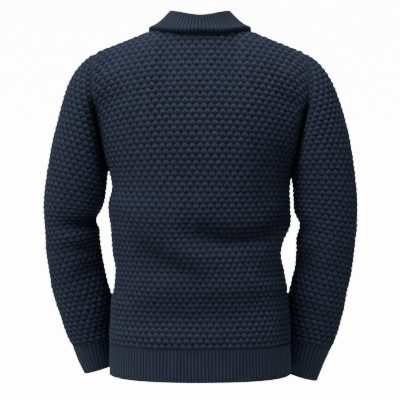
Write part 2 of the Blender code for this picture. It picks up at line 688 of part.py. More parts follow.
def build_front(name, hand, sleeve_rows, material):
    """One front, from the hem rib to the shoulder."""
    middle = front_grid(FRONT_COLUMNS, hand)
    normals = facing(grid_normals(middle), np.array([0.0, -1.0, 0.0]))
    window = 1.0 - np.abs(np.linspace(-1.0, 1.0, FRONT_COLUMNS + 1)) ** FOLD_EDGE_POWER
    middle = middle + normals * (fold_offset(FRONT_FOLDS, middle) * window)[..., None]
    normals = facing(grid_normals(middle), np.array([0.0, -1.0, 0.0]))
    normals[:LOWER_ROWS + 1, -1] = level_sideways(normals[:LOWER_ROWS + 1, -1])
    normals[-1] = shoulder_facing(np.full(FRONT_COLUMNS + 1, hand))
    normals[LOWER_ROWS:, -1] = armhole_walls(hand, sleeve_rows)[1]
    outer, inner = panel_faces(middle, normals, PANEL_THICKNESS)
    make_wall(name, outer, inner, material)


def build_sleeve(name, rows, folds, hand, material):
    """One sleeve, a tube from the armhole to the cuff."""
    shares = np.linspace(0.0, 1.0, UPPER_ROWS + 1)
    behind = armhole_angle(shares[::-1], 1)
    before = 360.0 - armhole_angle(shares[1:-1], -1)
    angle = np.concatenate([behind, before])
    last = rows[-1][0]
    ring = np.linspace(0.0, last, SLEEVE_RINGS + 1)
    ring_grid, angle_grid = np.meshgrid(ring, angle, indexing="ij")
    middle = sleeve_surface(rows, ring_grid, angle_grid, hand)
    centre = middle.mean(axis=1, keepdims=True)
    normals = facing(grid_normals(middle, closed=True), middle - centre)
    middle = middle + normals * sleeve_fold_offset(folds, ring_grid, angle_grid)[..., None]
    normals = facing(grid_normals(middle, closed=True), middle - centre)
    back_way, front_way = armhole_walls(hand, rows)
    normals[0] = np.concatenate([back_way[::-1], front_way[1:-1]])
    step_away = unit(middle[1] - middle[0])
    middle[0] = middle[0] + step_away * 2 * SEAM_HALF_GAP
    step_back = unit(middle[-2] - middle[-1])
    middle[-1] = middle[-1] + step_back * SEAM_HALF_GAP
    outer, inner = panel_faces(middle, normals, PANEL_THICKNESS)
    make_wall(name, outer, inner, material, closed=True)


def rib_heights(count):
    """Heights that alternate between a rib and the groove beside it."""
    return np.where(np.arange(count) % 2 == 0, RIB_HEIGHT, 0.0)


def build_cuff(name, rows, hand, material):
    """One ribbed cuff, open at the hand."""
    ring = np.array([0.0, 1.0, 2.0])
    fine = np.arange(2 * CUFF_RIB_COUNT) * 360.0 / (2 * CUFF_RIB_COUNT)
    coarse = np.arange(CUFF_RIB_COUNT // 2) * 720.0 / CUFF_RIB_COUNT
    grids = []
    for angle, sign in ((fine, 1.0), (coarse, -1.0)):
        ring_grid, angle_grid = np.meshgrid(ring, angle, indexing="ij")
        middle = sleeve_ellipse(rows, ring_grid, angle_grid, hand)
        centre = middle.mean(axis=1, keepdims=True)
        normals = facing(grid_normals(middle, closed=True), middle - centre)
        middle[0] = middle[0] + unit(middle[1] - middle[0]) * SEAM_HALF_GAP
        offset = RIB_THICKNESS / 2 * sign
        if sign > 0:
            offset = offset + rib_heights(len(angle))[None, :, None]
        grids.append(middle + normals * offset)
    make_wall(name, grids[0], grids[1], material, closed=True)


def hem_columns(width, pitch):
    """Counts of points for ribs of about a pitch across a width, fine outside and coarse inside."""
    ribs = int(round(width / pitch))
    return 2 * ribs + 1, ribs // 2 + 1


def build_hem(name, section, side, width, material):
    """One length of the ribbed hem under a panel."""
    fine, coarse = hem_columns(width, HEM_RIB_PITCH)
    levels = np.array([HEM_BOTTOM_Z, HEM_TOP_Z - SEAM_HALF_GAP])
    grids = []
    for count, sign in ((fine, 1.0), (coarse, -1.0)):
        shares = np.linspace(0.0, 1.0, count)
        trim = SEAM_HALF_GAP / width
        shares = trim + shares * (1.0 - 2.0 * trim)
        middle = np.array([section(height, shares) for height in levels])
        normals = facing(grid_normals(middle), np.array([0.0, side, 0.0]))
        offset = RIB_THICKNESS / 2 * sign
        if sign > 0:
            offset = offset + rib_heights(count)[None, :, None]
        grids.append(middle + normals * offset)
    make_wall(name, grids[0], grids[1], material)


def band_section(height, place):
    """Points of the band surface at one level, place -1 to 1 from the wearer's right to the left."""
    middle, band = front_inner_share(height)
    return half_ring(height, -1, middle - band * place)


def build_band(name, hand, material):
    """One ribbed button band, lapped in front of or behind the other."""
    length = UNDERARM_Z - HEM_BOTTOM_Z
    ribs = int(round(length / BAND_RIB_PITCH))
    places = np.array([-1.0, 1.0]) * (1.0 - SEAM_HALF_GAP / BAND_HALF_WIDTH)
    lap = hand * BAND_LAP_STEP / 2 * (1.0 - hand * places)
    grids = []
    for count, sign in ((2 * ribs + 1, 1.0), (ribs // 3 + 1, -1.0)):
        levels = np.linspace(HEM_BOTTOM_Z, UNDERARM_Z - SEAM_HALF_GAP, count)
        middle = np.array([band_section(height, places) for height in levels])
        normals = facing(grid_normals(middle), np.array([0.0, -1.0, 0.0]))
        offset = RIB_THICKNESS / 2 * sign + np.zeros((count, 1, 1))
        if sign > 0:
            offset = offset + rib_heights(count)[:, None, None]
        grids.append(middle + normals * (offset + lap[None, :, None]))
    make_wall(name, grids[0], grids[1], material)


def neck_place(station, hand):
    """Point of the neck seam: up the front edge, then round the back of the neck."""
    front = upper_front(np.zeros(station.shape), np.clip(station, 0.0, 1.0), hand)
    back = back_neck_point(hand * np.clip(2.0 - station, 0.0, 1.0))
    return np.where((station <= 1.0)[..., None], front, back)


def collar_stations(pitch):
    """Stations all round the neck seam, evenly spaced, with the side each one is on."""
    half = np.linspace(0.0, 2.0, 401)
    walk = neck_place(half, 1.0)
    length = np.concatenate([[0.0], np.cumsum(np.linalg.norm(np.diff(walk, axis=0), axis=1))])
    count = int(round(length[-1] / pitch))
    station = np.interp(np.linspace(0.0, length[-1], count + 1), length, half)
    return station


def collar_profile(row, shares):
    """Place along the stand, place outward and direction of the collar strip at shares of its width."""
    width, stand, roll, bend, edge_bend, lean = row
    fine = np.linspace(0.0, 1.0, PROFILE_SAMPLES)
    roll_end = stand + roll
    turn = bend * smooth_step(fine, stand, roll_end)
    turn = turn + (edge_bend - bend) * smooth_step(fine, roll_end, 1.0)
    turn = np.radians(turn)
    step = width / (PROFILE_SAMPLES - 1)
    middle_turn = (turn[1:] + turn[:-1]) / 2
    along = np.concatenate([[0.0], np.cumsum(np.cos(middle_turn)) * step])
    outward = np.concatenate([[0.0], np.cumsum(np.sin(middle_turn)) * step])
    return np.interp(shares, fine, along), np.interp(shares, fine, outward), np.interp(shares, fine, turn)


def collar_frames(station, hand):
    """Seam points and directions into the opening and outward, of the stations of one side."""
    step = 0.02
    place = neck_place(station, 1.0)
    way = unit(neck_place(np.clip(station + step, 0.0, 2.0), 1.0) - neck_place(np.clip(station - step, 0.0, 2.0), 1.0))
    outward = table_at(NECK_FACING_ROWS, station)
    outward = unit(outward - np.sum(outward * way, axis=-1, keepdims=True) * way)
    toward = unit(np.cross(way, outward))
    inward = table_at(NECK_INWARD_ROWS, station)
    toward = toward * np.where(np.sum(toward * inward, axis=-1, keepdims=True) < 0, -1.0, 1.0)
    mirror = np.array([hand, 1.0, 1.0])
    return place * mirror, toward * mirror, outward * mirror


def collar_side(hand, station):
    """Outer and inner points of one side's stations, the lap end first."""
    place, toward, outward = collar_frames(station, hand)
    rows = table_at(COLLAR_ROWS, station)
    lap = hand * BAND_LAP_STEP * (1.0 - smooth_step(station, LAP_FADE[0], LAP_FADE[1]))
    faces = []
    for index in range(len(station)):
        width, stand, roll, bend, edge_bend, lean = rows[index]
        roll_end = stand + roll
        shares = np.concatenate([[0.0, stand], np.linspace(stand, roll_end, 4)[1:],
                                 np.linspace(roll_end, 1.0, 3)[1:]])
        along, out, turn = collar_profile(rows[index], shares)
        along = along + COLLAR_SEAM_CLEARANCE
        out = out + lap[index] * along / width
        swell = COLLAR_EDGE_SWELL * smooth_step(shares, 0.86, 1.0) * smooth_step(station[index], 0.2, 0.4)
        half = RIB_THICKNESS / 2 + swell
        lean = math.radians(lean)
        stand_way = math.cos(lean) * toward[index] + math.sin(lean) * outward[index]
        out_way = -math.sin(lean) * toward[index] + math.cos(lean) * outward[index]
        face = np.stack([along, out, turn, half], axis=-1)
        faces.append((place[index], stand_way, out_way, face))
    return faces


def collar_points(faces, side, ribs):
    """Points of one face of the collar strip."""
    grid = []
    for index, (place, stand_way, out_way, face) in enumerate(faces):
        along, out, turn, half = face.T
        offset = side * (half + (ribs[index] if ribs is not None else 0.0))
        p = along - np.sin(turn) * offset
        q = out + np.cos(turn) * offset
        grid.append(place + p[:, None] * stand_way + q[:, None] * out_way)
    return np.array(grid)


def build_collar(material):
    """The ribbed shawl collar in one piece, from lap to lap round the back of the neck."""
    fine = collar_stations(COLLAR_RIB_PITCH / 2)
    coarse = collar_stations(COLLAR_RIB_PITCH * 2)
    grids = []
    for station, side in ((fine, -1.0), (coarse, 1.0)):
        station = station.copy()
        station[0] = 0.0015
        left = collar_side(1.0, station)
        right = collar_side(-1.0, station)
        faces = left + right[-2::-1]
        ribs = rib_heights(len(faces)) if side < 0 else None
        grids.append(collar_points(faces, side, ribs))
    make_wall("collar", grids[0], grids[1], material)


def build_button(name, height, material):
    """One round button with a rim and four holes, on the left band."""
    low, high = band_section(height - BUTTON_RADIUS, np.array([-1.0, 1.0]))
    right, left = band_section(height, np.array([-1.0, 1.0]))
    above_right, above_left = band_section(height + BUTTON_RADIUS, np.array([-1.0, 1.0]))
    lap = np.array([0.0, -BAND_LAP_STEP, 0.0])
    sideways = unit(left - right - lap)
    upward = above_left + above_right - low - high
    upward = unit(upward - np.dot(upward, sideways) * sideways)
    outward = unit(np.cross(sideways, upward))
    if outward[1] > 0:
        outward = -outward
    place = (left + right + lap) / 2
    lift = RIB_THICKNESS / 2 + RIB_HEIGHT + BUTTON_CLEARANCE
    base = place + outward * lift
    rim_in = BUTTON_RADIUS - BUTTON_RIM_WIDTH
    profile = (
        (BUTTON_RADIUS, 0.0),
        (BUTTON_RADIUS, BUTTON_THICKNESS),
        (rim_in, BUTTON_THICKNESS),
        (rim_in - BUTTON_DISH_DEPTH, BUTTON_THICKNESS - BUTTON_DISH_DEPTH),
    )
    points = []
    faces = []
    count = BUTTON_SEGMENTS
    for radius, rise in profile:
        for k in range(count):
            angle = 2 * math.pi * k / count
            points.append(base + radius * (math.cos(angle) * sideways + math.sin(angle) * upward) + rise * outward)
    for ring in range(len(profile) - 1):
        for k in range(count):
            a = ring * count + k
            b = ring * count + (k + 1) % count
            faces.append((a, b, b + count, a + count))
    faces.append(tuple(range(count - 1, -1, -1)))
    faces.append(tuple((len(profile) - 1) * count + k for k in range(count)))
    plate = make_object(name, points, faces, material)
    for across, up in ((1, 1), (1, -1), (-1, 1), (-1, -1)):
        centre = base + BUTTON_HOLE_SPACING * (across * sideways + up * upward)
        cut_hole(plate, centre, sideways, upward, outward)
    tidy_mesh(plate)
    return plate


def cut_hole(plate, centre, sideways, upward, outward):
    """Cut one round hole through a button."""
    points = []
    count = BUTTON_HOLE_SEGMENTS
    for rise in (-0.002, BUTTON_THICKNESS + 0.002):
        for k in range(count):
            angle = 2 * math.pi * (k + 0.5) / count
            spot = math.cos(angle) * sideways + math.sin(angle) * upward
            points.append(centre + BUTTON_HOLE_RADIUS * spot + rise * outward)
    faces = [(k, (k + 1) % count, count + (k + 1) % count, count + k) for k in range(count)]
    faces.append(tuple(range(count - 1, -1, -1)))
    faces.append(tuple(range(count, 2 * count)))
    drill = make_object("drill", points, faces, plate.data.materials[0])
    cut = plate.modifiers.new("hole", "BOOLEAN")
    cut.operation = "DIFFERENCE"
    cut.solver = "EXACT"
    cut.object = drill
    graph = bpy.context.evaluated_depsgraph_get()
    result = bpy.data.meshes.new_from_object(plate.evaluated_get(graph))
    plate.modifiers.clear()
    plate.data = result
    bpy.data.objects.remove(drill, do_unlink=True)


def tidy_mesh(plate):
    """Merge doubled points and triangulate."""
    work = bmesh.new()
    work.from_mesh(plate.data)
    bmesh.ops.remove_doubles(work, verts=work.verts[:], dist=1e-6)
    bmesh.ops.triangulate(work, faces=work.faces[:])
    work.to_mesh(plate.data)
    work.free()


def hem_back_section(height, shares):
    """Hem points under the back."""
    return half_ring(height, 1, shares)


def hem_left_section(height, shares):
    """Hem points under the left front."""
    return front_section(height, shares, 1.0)


def hem_right_section(height, shares):
    """Hem points under the right front."""
    return front_section(height, shares, -1.0)


def build_cardigan():
    """Every piece of the cardigan."""
    knit = make_material("textured_knit", NAVY_KNIT, 0.95)
    rib = make_material("ribbed_knit", NAVY_RIB, 0.95)
    horn = make_material("button", HORN, 0.35)
    build_back(knit)
    build_front("front_left", 1.0, LEFT_SLEEVE_ROWS, knit)
    build_front("front_right", -1.0, RIGHT_SLEEVE_ROWS, knit)
    build_sleeve("sleeve_left", LEFT_SLEEVE_ROWS, LEFT_SLEEVE_FOLDS, 1.0, knit)
    build_sleeve("sleeve_right", RIGHT_SLEEVE_ROWS, RIGHT_SLEEVE_FOLDS, -1.0, knit)
    build_cuff("cuff_left", LEFT_CUFF_ROWS, 1.0, rib)
    build_cuff("cuff_right", RIGHT_CUFF_ROWS, -1.0, rib)
    build_hem("hem_back", hem_back_section, 1.0, 0.49, rib)
    build_hem("hem_front_left", hem_left_section, -1.0, 0.23, rib)
    build_hem("hem_front_right", hem_right_section, -1.0, 0.23, rib)
    build_band("band_left", 1.0, rib)
    build_band("band_right", -1.0, rib)
    build_collar(rib)
    for number, height in enumerate(BUTTON_HEIGHTS, start=1):
        build_button("button_%d" % number, height, horn)


clear_scene()
build_cardigan()
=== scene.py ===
"""Looks of the knitted cardigan: bubble knit panels, ribs, collar, buttons, light and camera."""
import math

import bmesh
import bpy
import numpy as np
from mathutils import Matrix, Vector


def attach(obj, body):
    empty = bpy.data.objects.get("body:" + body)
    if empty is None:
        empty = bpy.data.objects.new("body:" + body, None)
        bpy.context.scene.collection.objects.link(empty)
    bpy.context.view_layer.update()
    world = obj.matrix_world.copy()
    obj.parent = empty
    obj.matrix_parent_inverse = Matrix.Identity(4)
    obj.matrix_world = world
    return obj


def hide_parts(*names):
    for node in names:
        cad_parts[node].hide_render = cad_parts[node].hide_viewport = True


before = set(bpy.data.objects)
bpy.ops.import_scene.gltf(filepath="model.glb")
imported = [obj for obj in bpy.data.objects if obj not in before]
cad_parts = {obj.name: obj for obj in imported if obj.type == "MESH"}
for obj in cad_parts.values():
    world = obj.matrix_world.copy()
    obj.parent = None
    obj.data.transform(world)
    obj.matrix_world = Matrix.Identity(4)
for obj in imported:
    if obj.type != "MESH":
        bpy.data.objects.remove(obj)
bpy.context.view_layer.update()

# Walls and seams
PANEL_THICKNESS = 0.0030
RIB_THICKNESS = 0.0026
SEAM_HALF_GAP = 0.0002
GRID_STEP = 0.0018
SLEEVE_GRID_STEP = 0.0020
INNER_SKIP = 5

# Heights of the main levels
HEM_BOTTOM_Z = -0.6475
HEM_TOP_Z = -0.5886
UNDERARM_Z = -0.2560
SHOULDER_POINT = (0.1985, -0.0050, -0.0425)
NECK_POINT = (0.0790, -0.0040, 0.0066)
BACK_NECK_DEPTH = 0.0620
BACK_NECK_DROP = 0.0181
NECK_SHARE = 0.47

# Body sections below the underarm, one row a level
# height, half width on the left, half width on the right, depth to the back, depth to the front
BODY_ROWS = (
    (-0.6480, 0.1692, 0.1696, 0.1300, 0.1320),
    (-0.6200, 0.1688, 0.1688, 0.1295, 0.1320),
    (-0.5886, 0.1682, 0.1682, 0.1288, 0.1322),
    (-0.5650, 0.1672, 0.1682, 0.1295, 0.1325),
    (-0.5300, 0.1652, 0.1664, 0.1250, 0.1310),
    (-0.5090, 0.1645, 0.1645, 0.1220, 0.1295),
    (-0.4790, 0.1592, 0.1618, 0.1180, 0.1275),
    (-0.4480, 0.1575, 0.1555, 0.1160, 0.1260),
    (-0.4180, 0.1624, 0.1502, 0.1145, 0.1250),
    (-0.3950, 0.1645, 0.1560, 0.1155, 0.1250),
    (-0.3720, 0.1662, 0.1675, 0.1185, 0.1260),
    (-0.3270, 0.1702, 0.1690, 0.1210, 0.1270),
    (-0.2970, 0.1635, 0.1685, 0.1230, 0.1270),
    (-0.2560, 0.1712, 0.1712, 0.1240, 0.1270),
)
BODY_SQUARENESS = 2.4

# Widths and lengths that set the grids of points
BACK_WIDTH = 0.482
BACK_HALF_RUN = 0.25
FRONT_WIDTH = 0.212
FRONT_RUN = 0.22
RISE_LENGTH = 0.262
TOP_ROW_LENGTH = 0.27
SLEEVE_LENGTH = 0.600
SLEEVE_ROUND = 0.400

# Armhole, one row a step of its angle from the shoulder point down to the underarm
# angle in degrees, across at the back, depth at the back, across at the front, depth at the front
ARMHOLE_ROWS = (
    (0.0, 0.1985, -0.0050, 0.1985, -0.0050),
    (20.0, 0.2005, 0.0200, 0.1995, -0.0300),
    (45.0, 0.2020, 0.0440, 0.1965, -0.0520),
    (70.0, 0.2020, 0.0560, 0.1930, -0.0640),
    (90.0, 0.1995, 0.0570, 0.1895, -0.0660),
    (110.0, 0.1940, 0.0510, 0.1860, -0.0610),
    (135.0, 0.1855, 0.0380, 0.1815, -0.0460),
    (160.0, 0.1755, 0.0180, 0.1750, -0.0230),
    (180.0, 0.1712, 0.0000, 0.1712, 0.0000),
)

# Rise of the upper back over the shoulder, one row a share of the way from the middle to the armhole
# share, direction at the top edge across, in depth and up, length of the pull
BACK_TOP_ROWS = (
    (0.00, 0.00, -0.45, 0.89, 0.270),
    (0.25, 0.00, -0.62, 0.78, 0.290),
    (0.47, 0.00, -0.96, 0.28, 0.330),
    (0.75, 0.00, -0.98, 0.20, 0.290),
    (1.00, 0.00, -0.98, 0.20, 0.250),
)
# share from the neck edge to the armhole, the same four columns for a front
FRONT_TOP_ROWS = (
    (0.00, 0.00, 0.97, 0.24, 0.340),
    (0.30, 0.00, 0.98, 0.20, 0.330),
    (0.65, 0.00, 0.98, 0.20, 0.290),
    (1.00, 0.00, 0.98, 0.20, 0.250),
)
BACK_START = (0.00, 0.06, 1.00)
FRONT_START = (0.25, -0.04, 1.00)
EDGE_POWER = 3.0
FOLD_EDGE_POWER = 8.0
MITRE_LIMIT = 1.45
# Reach of the wall directions shared at a seam
TOP_BLEND = 0.010
SIDE_BLEND = 0.008

# Sleeves, one row a ring from the armhole to the cuff
# ring, outer edge across and up, inner edge across and up, middle depth, half depth
LEFT_SLEEVE_ROWS = (
    (0.0, 0.1985, -0.0425, 0.1712, -0.2560, 0.0000, 0.0620),
    (1.0, 0.2231, -0.0632, 0.1755, -0.2620, 0.0020, 0.0660),
    (2.0, 0.2428, -0.0917, 0.1770, -0.2680, 0.0030, 0.0670),
    (3.0, 0.2551, -0.1248, 0.1789, -0.2750, 0.0030, 0.0670),
    (4.0, 0.2670, -0.1691, 0.1792, -0.2831, 0.0030, 0.0660),
    (5.0, 0.2781, -0.2144, 0.1803, -0.2921, 0.0020, 0.0650),
    (6.0, 0.2860, -0.2584, 0.1818, -0.3019, 0.0000, 0.0640),
    (7.0, 0.2925, -0.3005, 0.1837, -0.3160, -0.0030, 0.0620),
    (8.0, 0.2946, -0.3345, 0.1893, -0.3360, -0.0060, 0.0600),
    (9.0, 0.2933, -0.3641, 0.1960, -0.3583, -0.0100, 0.0570),
    (10.0, 0.2923, -0.3922, 0.1905, -0.3804, -0.0140, 0.0580),
    (11.0, 0.2917, -0.4185, 0.1920, -0.4054, -0.0180, 0.0570),
    (12.0, 0.2865, -0.4571, 0.1876, -0.4392, -0.0240, 0.0560),
    (13.0, 0.2811, -0.4940, 0.1811, -0.4740, -0.0300, 0.0540),
    (14.0, 0.2697, -0.5331, 0.1715, -0.5120, -0.0370, 0.0520),
    (15.0, 0.2594, -0.5684, 0.1710, -0.5480, -0.0450, 0.0470),
    (16.0, 0.2467, -0.6009, 0.1697, -0.5850, -0.0530, 0.0410),
)
RIGHT_SLEEVE_ROWS = (
    (0.0, 0.1985, -0.0425, 0.1712, -0.2560, 0.0000, 0.0620),
    (1.0, 0.2246, -0.0632, 0.1750, -0.2620, 0.0020, 0.0660),
    (2.0, 0.2447, -0.0917, 0.1755, -0.2680, 0.0030, 0.0670),
    (3.0, 0.2589, -0.1247, 0.1760, -0.2750, 0.0030, 0.0670),
    (4.0, 0.2728, -0.1690, 0.1773, -0.2831, 0.0030, 0.0660),
    (5.0, 0.2828, -0.2143, 0.1787, -0.2926, 0.0020, 0.0650),
    (6.0, 0.2898, -0.2583, 0.1799, -0.3021, 0.0000, 0.0640),
    (7.0, 0.2950, -0.3005, 0.1805, -0.3173, -0.0030, 0.0620),
    (8.0, 0.2965, -0.3346, 0.1819, -0.3402, -0.0060, 0.0610),
    (9.0, 0.2967, -0.3662, 0.1900, -0.3662, -0.0100, 0.0580),
    (10.0, 0.2940, -0.3963, 0.1845, -0.3899, -0.0140, 0.0580),
    (11.0, 0.2909, -0.4282, 0.1853, -0.4207, -0.0180, 0.0570),
    (12.0, 0.2873, -0.4603, 0.1845, -0.4494, -0.0240, 0.0560),
    (13.0, 0.2798, -0.4960, 0.1777, -0.4800, -0.0300, 0.0540),
    (14.0, 0.2747, -0.5313, 0.1715, -0.5130, -0.0370, 0.0520),
    (15.0, 0.2656, -0.5685, 0.1710, -0.5500, -0.0450, 0.0470),
    (16.0, 0.2541, -0.6048, 0.1700, -0.5880, -0.0530, 0.0420),
)
# Cuffs, one row a ring from the sleeve to the hand, the same columns
LEFT_CUFF_ROWS = (
    (0.0, 0.2466, -0.6013, 0.1697, -0.5854, -0.0531, 0.0408),
    (1.0, 0.2367, -0.6310, 0.1690, -0.6130, -0.0610, 0.0350),
    (2.0, 0.2242, -0.6584, 0.1675, -0.6410, -0.0670, 0.0305),
)
RIGHT_CUFF_ROWS = (
    (0.0, 0.2540, -0.6052, 0.1700, -0.5884, -0.0531, 0.0418),
    (1.0, 0.2398, -0.6388, 0.1695, -0.6210, -0.0610, 0.0355),
    (2.0, 0.2272, -0.6729, 0.1680, -0.6560, -0.0670, 0.0305),
)
ARMHOLE_FADE_RINGS = 4.0
CREASE_SIDE = (-0.1, 0.35)
CREASE_FREE_RINGS = (0.8, 0.6)

# Largest folds of the solids, one row a fold on the back
# start across and up, middle across and up, end across and up, half width, depth
BACK_FOLDS = (
    (0.015, -0.372, -0.078, -0.394, -0.165, -0.356, 0.0240, -0.0075),
    (0.140, -0.326, 0.070, -0.336, -0.010, -0.322, 0.0260, 0.0030),
    (0.110, -0.400, 0.060, -0.434, -0.020, -0.462, 0.0240, -0.0045),
    (0.110, -0.530, -0.020, -0.524, -0.130, -0.512, 0.0240, -0.0045),
)
FRONT_FOLDS = (
    (0.150, -0.400, 0.090, -0.425, 0.040, -0.415, 0.0200, -0.0045),
    (-0.155, -0.385, -0.095, -0.420, -0.040, -0.430, 0.0200, -0.0050),
    (0.140, -0.510, 0.090, -0.520, 0.035, -0.512, 0.0200, -0.0035),
    (-0.140, -0.505, -0.090, -0.520, -0.035, -0.520, 0.0200, -0.0035),
)
# Sleeve folds of the solids, one row a fold: ring, angle in degrees, half rings, half angle, depth
LEFT_SLEEVE_FOLDS = (
    (9.0, 140.0, 0.7, 60.0, -0.0070),
    (10.6, 125.0, 0.6, 55.0, -0.0050),
    (12.2, 115.0, 0.6, 50.0, -0.0035),
    (9.8, 230.0, 0.8, 55.0, -0.0050),
)
RIGHT_SLEEVE_FOLDS = (
    (9.2, 150.0, 0.7, 50.0, -0.0045),
    (11.4, 140.0, 0.7, 50.0, -0.0030),
    (9.8, 230.0, 0.8, 55.0, -0.0050),
)

# Finer creases of the cloth, the same columns as the folds
BACK_CREASES = (
    (-0.158, -0.345, -0.090, -0.390, 0.015, -0.368, 0.0130, -0.0028),
    (-0.128, -0.205, -0.118, -0.285, -0.095, -0.340, 0.0360, -0.0040),
    (-0.162, -0.215, -0.160, -0.290, -0.160, -0.350, 0.0220, -0.0045),
    (-0.156, -0.480, -0.156, -0.540, -0.154, -0.590, 0.0180, -0.0045),
    (0.040, -0.404, -0.050, -0.417, -0.140, -0.399, 0.0150, 0.0044),
    (0.112, -0.394, 0.068, -0.424, 0.005, -0.458, 0.0120, -0.0016),
    (0.138, -0.328, 0.095, -0.344, 0.050, -0.366, 0.0120, 0.0022),
    (0.128, -0.366, 0.080, -0.368, 0.026, -0.366, 0.0032, -0.0014),
    (0.113, -0.474, 0.070, -0.470, 0.031, -0.468, 0.0130, 0.0020),
    (0.102, -0.513, -0.020, -0.499, -0.153, -0.499, 0.0130, -0.0024),
    (0.144, -0.560, 0.070, -0.568, 0.000, -0.569, 0.0130, 0.0016),
    (-0.108, -0.442, -0.128, -0.454, -0.150, -0.470, 0.0150, -0.0032),
    (0.138, -0.078, 0.165, -0.092, 0.192, -0.110, 0.0130, 0.0024),
    (0.192, -0.142, 0.170, -0.137, 0.138, -0.129, 0.0110, -0.0024),
    (-0.140, -0.080, -0.166, -0.094, -0.190, -0.112, 0.0130, 0.0018),
    (-0.190, -0.146, -0.170, -0.139, -0.142, -0.130, 0.0110, -0.0018),
)
FRONT_CREASES = (
    (0.150, -0.330, 0.110, -0.352, 0.060, -0.350, 0.0130, 0.0022),
    (-0.150, -0.330, -0.108, -0.356, -0.055, -0.362, 0.0130, 0.0022),
    (0.145, -0.452, 0.100, -0.462, 0.050, -0.455, 0.0120, 0.0020),
    (-0.142, -0.450, -0.100, -0.468, -0.050, -0.470, 0.0120, 0.0020),
    (0.138, -0.084, 0.162, -0.100, 0.180, -0.124, 0.0130, 0.0022),
    (-0.138, -0.084, -0.162, -0.100, -0.180, -0.124, 0.0130, 0.0022),
    (0.178, -0.158, 0.150, -0.150, 0.120, -0.140, 0.0120, -0.0024),
    (-0.178, -0.158, -0.150, -0.150, -0.120, -0.140, 0.0120, -0.0024),
)
# The left sleeve's creases behind, then in front; the right sleeve's follow
LEFT_BACK_CREASES = (
    (0.262, -0.352, 0.235, -0.360, 0.200, -0.362, 0.0100, -0.0030),
    (0.232, -0.406, 0.214, -0.412, 0.198, -0.414, 0.0090, -0.0028),
    (0.222, -0.436, 0.208, -0.442, 0.192, -0.446, 0.0090, -0.0022),
    (0.264, -0.380, 0.235, -0.388, 0.205, -0.389, 0.0100, 0.0030),
    (0.286, -0.228, 0.240, -0.226, 0.205, -0.222, 0.0030, -0.0010),
    (0.205, -0.566, 0.192, -0.560, 0.180, -0.550, 0.0100, -0.0020),
    (0.250, -0.520, 0.225, -0.508, 0.196, -0.500, 0.0110, -0.0016),
)
RIGHT_BACK_CREASES = (
    (-0.262, -0.356, -0.232, -0.366, -0.196, -0.368, 0.0140, 0.0026),
    (-0.232, -0.410, -0.212, -0.416, -0.190, -0.414, 0.0090, -0.0022),
    (-0.280, -0.386, -0.250, -0.392, -0.222, -0.390, 0.0110, 0.0018),
    (-0.290, -0.228, -0.245, -0.226, -0.205, -0.224, 0.0030, -0.0010),
    (-0.262, -0.540, -0.232, -0.526, -0.196, -0.516, 0.0110, -0.0018),
)
LEFT_FRONT_CREASES = (
    (0.272, -0.340, 0.240, -0.356, 0.202, -0.352, 0.0110, -0.0032),
    (0.262, -0.412, 0.232, -0.424, 0.198, -0.418, 0.0110, -0.0026),
    (0.250, -0.500, 0.222, -0.492, 0.190, -0.480, 0.0110, -0.0020),
)
RIGHT_FRONT_CREASES = (
    (-0.274, -0.344, -0.240, -0.360, -0.202, -0.356, 0.0110, -0.0032),
    (-0.262, -0.420, -0.232, -0.432, -0.198, -0.424, 0.0110, -0.0026),
    (-0.252, -0.508, -0.222, -0.500, -0.190, -0.488, 0.0110, -0.0020),
)

# Button bands and their lap, left over right
BAND_HALF_WIDTH = 0.0175
BAND_LAP_STEP = 0.0038

# Collar strip, one row a station: 0 at the lap, 1 at the neck point, 2 at the middle of the back
# station, width, share of the stand, share of the roll, bend and bend at the free edge, lean in degrees
COLLAR_ROWS = (
    (0.00, 0.0350, 0.450, 0.220, 0.0, 0.0, 0.0),
    (0.20, 0.0350, 0.450, 0.220, 0.0, 0.0, 0.0),
    (0.27, 0.0430, 0.420, 0.220, 55.0, 60.0, 0.0),
    (0.35, 0.0530, 0.360, 0.220, 125.0, 130.0, 2.0),
    (0.48, 0.0680, 0.300, 0.200, 166.0, 176.0, 5.0),
    (0.70, 0.0820, 0.300, 0.180, 168.0, 170.0, 14.0),
    (0.88, 0.0900, 0.323, 0.170, 174.0, 164.0, 22.0),
    (1.00, 0.0950, 0.345, 0.148, 180.5, 167.0, 22.7),
    (1.35, 0.0892, 0.360, 0.160, 182.0, 169.0, 20.0),
    (2.00, 0.0702, 0.397, 0.205, 175.0, 164.0, 16.0),
)
# Outward direction of the garment along the neck seam: station, across, in depth and up
NECK_FACING_ROWS = (
    (0.00, 0.04, -0.999, 0.02),
    (0.30, 0.12, -0.970, 0.18),
    (0.60, 0.22, -0.880, 0.42),
    (0.80, 0.30, -0.680, 0.66),
    (1.00, 0.37, 0.050, 0.92),
    (1.30, 0.30, 0.520, 0.80),
    (1.60, 0.18, 0.760, 0.62),
    (2.00, 0.00, 0.890, 0.45),
)
# Direction from the neck seam into the opening, the same columns
NECK_INWARD_ROWS = (
    (0.00, -1.00, 0.00, 0.20),
    (1.00, -0.92, 0.00, 0.37),
    (1.50, -0.50, -0.50, 0.70),
    (2.00, 0.00, -0.45, 0.89),
)
COLLAR_SEAM_CLEARANCE = 0.0012
COLLAR_TUCK = 0.0008
COLLAR_EDGE_SWELL = 0.0022
LAP_FADE = (0.20, 0.30)

# Buttons
BUTTON_RADIUS = 0.0100
BUTTON_THICKNESS = 0.0038
BUTTON_HOLE_RADIUS = 0.0012
BUTTON_HOLE_SPACING = 0.0021
BUTTON_HEIGHTS = (-0.270, -0.356, -0.442, -0.528, -0.614)
BUTTON_SEAT = 0.0023
BUTTON_SIDES = 48
HOLE_SIDES = 16
HOLE_OVERRUN = 0.002
SHARP_ANGLE = math.radians(48)
